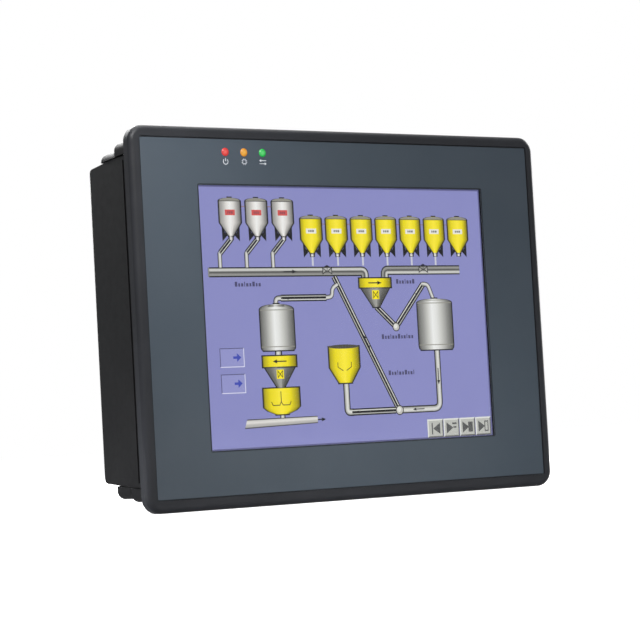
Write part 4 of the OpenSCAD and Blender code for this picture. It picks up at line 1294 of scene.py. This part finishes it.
def end_tree(tree, geometry, finish):
    """Closes a tree: moved to its place, made real, and given its finish."""
    moved = tree_node(
        tree,
        "Transform",
        {
            "Geometry": geometry,
            "Translation": tree_input(tree, "Place", "Vector", (0, 0, 0)),
            "Rotation": tree_input(tree, "Turn", "Vector", (0, 0, 0)),
        },
    )
    real = tree_node(tree, "RealizeInstances", {"Geometry": moved.outputs["Geometry"]})
    coated = tree_node(tree, "SetMaterial", {"Geometry": real.outputs["Geometry"], "Material": finish})
    tree.links.new(coated.outputs["Geometry"], tree.nodes["result"].inputs["Geometry"])


def thread_tree(finish):
    """The ridge of a screw thread, wound along Z."""
    tree = new_tree("screw_thread")
    radius = tree_input(tree, "Radius", "Float", 1.5 * MM)
    turns = tree_input(tree, "Turns", "Float", 8.0)
    length = tree_input(tree, "Length", "Float", 4 * MM)
    ridge = tree_input(tree, "Ridge", "Float", 0.2 * MM)
    coil = tree_node(
        tree,
        "CurveSpiral",
        {
            "Resolution": 28,
            "Rotations": turns,
            "Start Radius": radius,
            "End Radius": radius,
            "Height": length,
        },
    )
    section = tree_node(tree, "CurvePrimitiveCircle", {"Resolution": 4, "Radius": ridge})
    wound = tree_node(
        tree,
        "CurveToMesh",
        {"Curve": coil.outputs["Curve"], "Profile Curve": section.outputs["Curve"], "Fill Caps": True},
    )
    end_tree(tree, wound.outputs["Mesh"], finish)
    return tree


def contact_tree(finish, name):
    """A row of round contacts along X."""
    tree = new_tree(name)
    count = tree_input(tree, "Count", "Int", 5)
    pitch = tree_input(tree, "Pitch", "Vector", (2.77 * MM, 0, 0))
    radius = tree_input(tree, "Radius", "Float", 0.5 * MM)
    depth = tree_input(tree, "Depth", "Float", 4 * MM)
    row = tree_node(tree, "MeshLine", {"Count": count, "Offset": pitch})
    pin = tree_node(tree, "MeshCylinder", {"Vertices": 16, "Radius": radius, "Depth": depth})
    rows = tree_node(
        tree,
        "InstanceOnPoints",
        {"Points": row.outputs["Mesh"], "Instance": pin.outputs["Mesh"]},
    )
    end_tree(tree, rows.outputs["Instances"], finish)
    return tree


def grown(tree, name, **values):
    """Runs a tree with its named inputs, and keeps the result as a plain mesh."""
    holder = bpy.data.objects.new(name + "_holder", bpy.data.meshes.new(name + "_seed"))
    SCENE.collection.objects.link(holder)
    growth = holder.modifiers.new("growth", "NODES")
    growth.node_group = tree
    for item in tree.interface.items_tree:
        if item.item_type == "SOCKET" and item.in_out == "INPUT" and item.name in values:
            growth[item.identifier] = values[item.name]
    depsgraph = bpy.context.evaluated_depsgraph_get()
    mesh = bpy.data.meshes.new_from_object(holder.evaluated_get(depsgraph))
    mesh.name = name
    holder.modifiers.remove(growth)
    bpy.data.objects.remove(holder)
    return mesh


def clamp_threads():
    """The thread that shows on each clamp screw between its head and its pad."""
    tree = thread_tree(FINISHES["steel"])
    for i in range(1, 5):
        low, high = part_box(f"clamp_screw_{i}")
        x = (low[0] + high[0]) / 2
        z = (low[2] + high[2]) / 2
        start = low[1] + 0.4 * MM
        length = high[1] - CLAMP_HEAD - 0.3 * MM - start
        mesh = grown(
            tree,
            f"clamp_thread_{i}",
            Radius=CLAMP_THREAD_R - 0.1 * MM,
            Turns=length / CLAMP_PITCH,
            Length=length,
            Ridge=0.18 * MM,
            Place=(x, start, z),
            Turn=(-math.pi / 2, 0, 0),
        )
        place_piece(f"clamp_thread_{i}", mesh, None, f"clamp_screw_{i}")


def port_faces():
    """The insulators of the two serial ports, and their two rows of contacts."""
    gold = contact_tree(contact_gold(), "contact_rings")
    dark = contact_tree(FINISHES["chip_plastic"], "contact_bores")
    pitch = 2.77 * MM
    for ways in (25, 9):
        low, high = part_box(f"serial_port_{ways}")
        x = (low[0] + high[0]) / 2
        y = high[1] - PORT_FLANGE / 2
        half = (high[0] - low[0]) / 2 - PORT_EAR
        port_insulator(ways, x, y, low[2], half)
        wide_row = (ways + 1) // 2
        for row, count in enumerate((wide_row, ways - wide_row)):
            start = x - (count - 1) / 2 * pitch
            depth_y = y + (1.42 - 2.84 * row) * MM
            for tree, kind, radius, proud in ((gold, "ring", 0.62, 0.2), (dark, "bore", 0.4, 0.24)):
                name = f"port_{ways}_{kind}_{row + 1}"
                mesh = grown(
                    tree,
                    name,
                    Count=count,
                    Pitch=(pitch, 0, 0),
                    Radius=radius * MM,
                    Depth=0.4 * MM,
                    Place=(start, depth_y, low[2] - (proud - 0.2) * MM),
                )
                place_piece(name, mesh, None, "root")


def port_insulator(ways, x, y, face, half):
    """The D-shaped plastic face that fills a port's shell."""
    deep = 3.5 * MM
    outline = [(half, deep), (-half, deep), (-half + 1.3 * MM, -deep), (half - 1.3 * MM, -deep)]
    form = bmesh.new()
    corners = [form.verts.new((x + a, y + b, face - 0.1 * MM)) for a, b in outline]
    face_in = form.faces.new(corners)
    raised = bmesh.ops.extrude_face_region(form, geom=[face_in])
    for vert in (v for v in raised["geom"] if isinstance(v, bmesh.types.BMVert)):
        vert.co.z += 0.3 * MM
    upright = [edge for edge in form.edges if abs(edge.verts[0].co.z - edge.verts[1].co.z) > 0.1 * MM]
    bmesh.ops.bevel(form, geom=upright, offset=0.9 * MM, segments=3, profile=0.5, affect="EDGES")
    bmesh.ops.recalc_face_normals(form, faces=form.faces)
    mesh = bpy.data.meshes.new(f"port_insulator_{ways}")
    form.to_mesh(mesh)
    form.free()
    place_piece(f"port_insulator_{ways}", mesh, FINISHES["chip_plastic"], "root")


# ---------------------------------------------------------------- camera, light and stage


def set_camera():
    data = bpy.data.cameras.new("camera")
    data.sensor_width = 36
    data.lens = 127.7776
    data.clip_start = 0.05
    camera = bpy.data.objects.new("camera", data)
    camera.location = (-0.796254, -1.161216, -0.074012)
    camera.rotation_euler = Euler([math.radians(a) for a in (92.93, 3.176, -33.623)])
    SCENE.collection.objects.link(camera)
    SCENE.camera = camera


def soft_light(name, place, aim, size, power, glossy=True):
    """A rectangular softbox aimed at a point. One that isn't glossy leaves no reflection."""
    data = bpy.data.lights.new(name, "AREA")
    data.shape = "RECTANGLE"
    data.size = size[0]
    data.size_y = size[1]
    data.energy = power
    light = bpy.data.objects.new(name, data)
    light.location = place
    light.rotation_euler = (Vector(aim) - Vector(place)).to_track_quat("-Z", "Y").to_euler()
    light.visible_glossy = glossy
    light.visible_transmission = glossy
    light.visible_camera = False
    SCENE.collection.objects.link(light)


def set_lights():
    soft_light("key", (-0.62, -0.75, 0.85), (-0.05, 0, 0), (0.7, 0.5), 9.5)
    soft_light("corner_glow", (-0.15, -0.12, 0.1), (-0.12, 0, 0.09), (0.1, 0.1), 0.16, glossy=False)
    soft_light("overhead", (0.1, 0.2, 1.5), (0, 0, -0.1), (1.6, 1.6), 16)
    soft_light("front_fill", (0.5, -1.7, 0.4), (0, 0, 0), (1.0, 1.0), 6, glossy=False)
    soft_light("low_front", (0.0, -0.12, -0.085), (0, 0, -0.094), (0.3, 0.02), 0.165, glossy=False)
    soft_light("low_left", (-0.24, 0.03, -0.112), (-0.15, 0.03, -0.1), (0.1, 0.02), 0.35, glossy=False)
    soft_light("rear_fill", (0.3, 1.6, 0.6), (0, 0, 0), (1.2, 0.8), 30)
    soft_light("right_fill", (1.5, 0.35, 0.45), (0, 0, 0), (0.9, 0.8), 14)


def set_world():
    """White where the camera looks past the stage, dim grey as light on the object."""
    world = bpy.data.worlds.new("studio")
    SCENE.world = world
    world.use_nodes = True
    nodes = world.node_tree.nodes
    links = world.node_tree.links
    seen = nodes["Background"]
    seen.inputs["Color"].default_value = (0.22, 0.225, 0.235, 1)
    white = nodes.new("ShaderNodeBackground")
    white.inputs["Color"].default_value = (1, 1, 1, 1)
    rays = nodes.new("ShaderNodeLightPath")
    mix = nodes.new("ShaderNodeMixShader")
    links.new(rays.outputs["Is Camera Ray"], mix.inputs["Fac"])
    links.new(seen.outputs["Background"], mix.inputs[1])
    links.new(white.outputs["Background"], mix.inputs[2])
    links.new(mix.outputs["Shader"], nodes["World Output"].inputs["Surface"])


def set_stage():
    """A wide, plain pale floor just under the bezel's lower edge."""
    finish = Finish("studio_floor")
    tones = [(0.3, (0.86, 0.86, 0.86, 1)), (0.7, (0.88, 0.88, 0.88, 1))]
    finish.base(finish.colours(finish.noise(0.6, 2.0), tones))
    finish.set(Roughness=0.9, Specular_IOR_Level=0.1, Emission_Color=(1, 1, 1, 1), Emission_Strength=0.82)
    form = bmesh.new()
    bmesh.ops.create_grid(form, x_segments=4, y_segments=4, size=12)
    mesh = bpy.data.meshes.new("studio_floor")
    form.to_mesh(mesh)
    form.free()
    floor = bpy.data.objects.new("studio_floor", mesh)
    floor.location = (0, 0, cad_box[0][2] - 0.2 * MM)
    SCENE.collection.objects.link(floor)
    dress(floor, finish.material)
    floor.visible_diffuse = False
    floor.visible_glossy = False


# ---------------------------------------------------------------- assembly

set_camera()
SCENE.view_settings.view_transform = "Standard"
set_world()
set_lights()
set_stage()

for node, source in frame["nodes"].items():
    dress(source, FINISHES[SLOTS[node]])
for node, (edge, shape, radius) in SOFTENED.items():
    softened(node, edge, shape, radius)
process_picture()
lamp_legends()
painted_edge_shadows()
rating_marks()
clamp_threads()
port_faces()
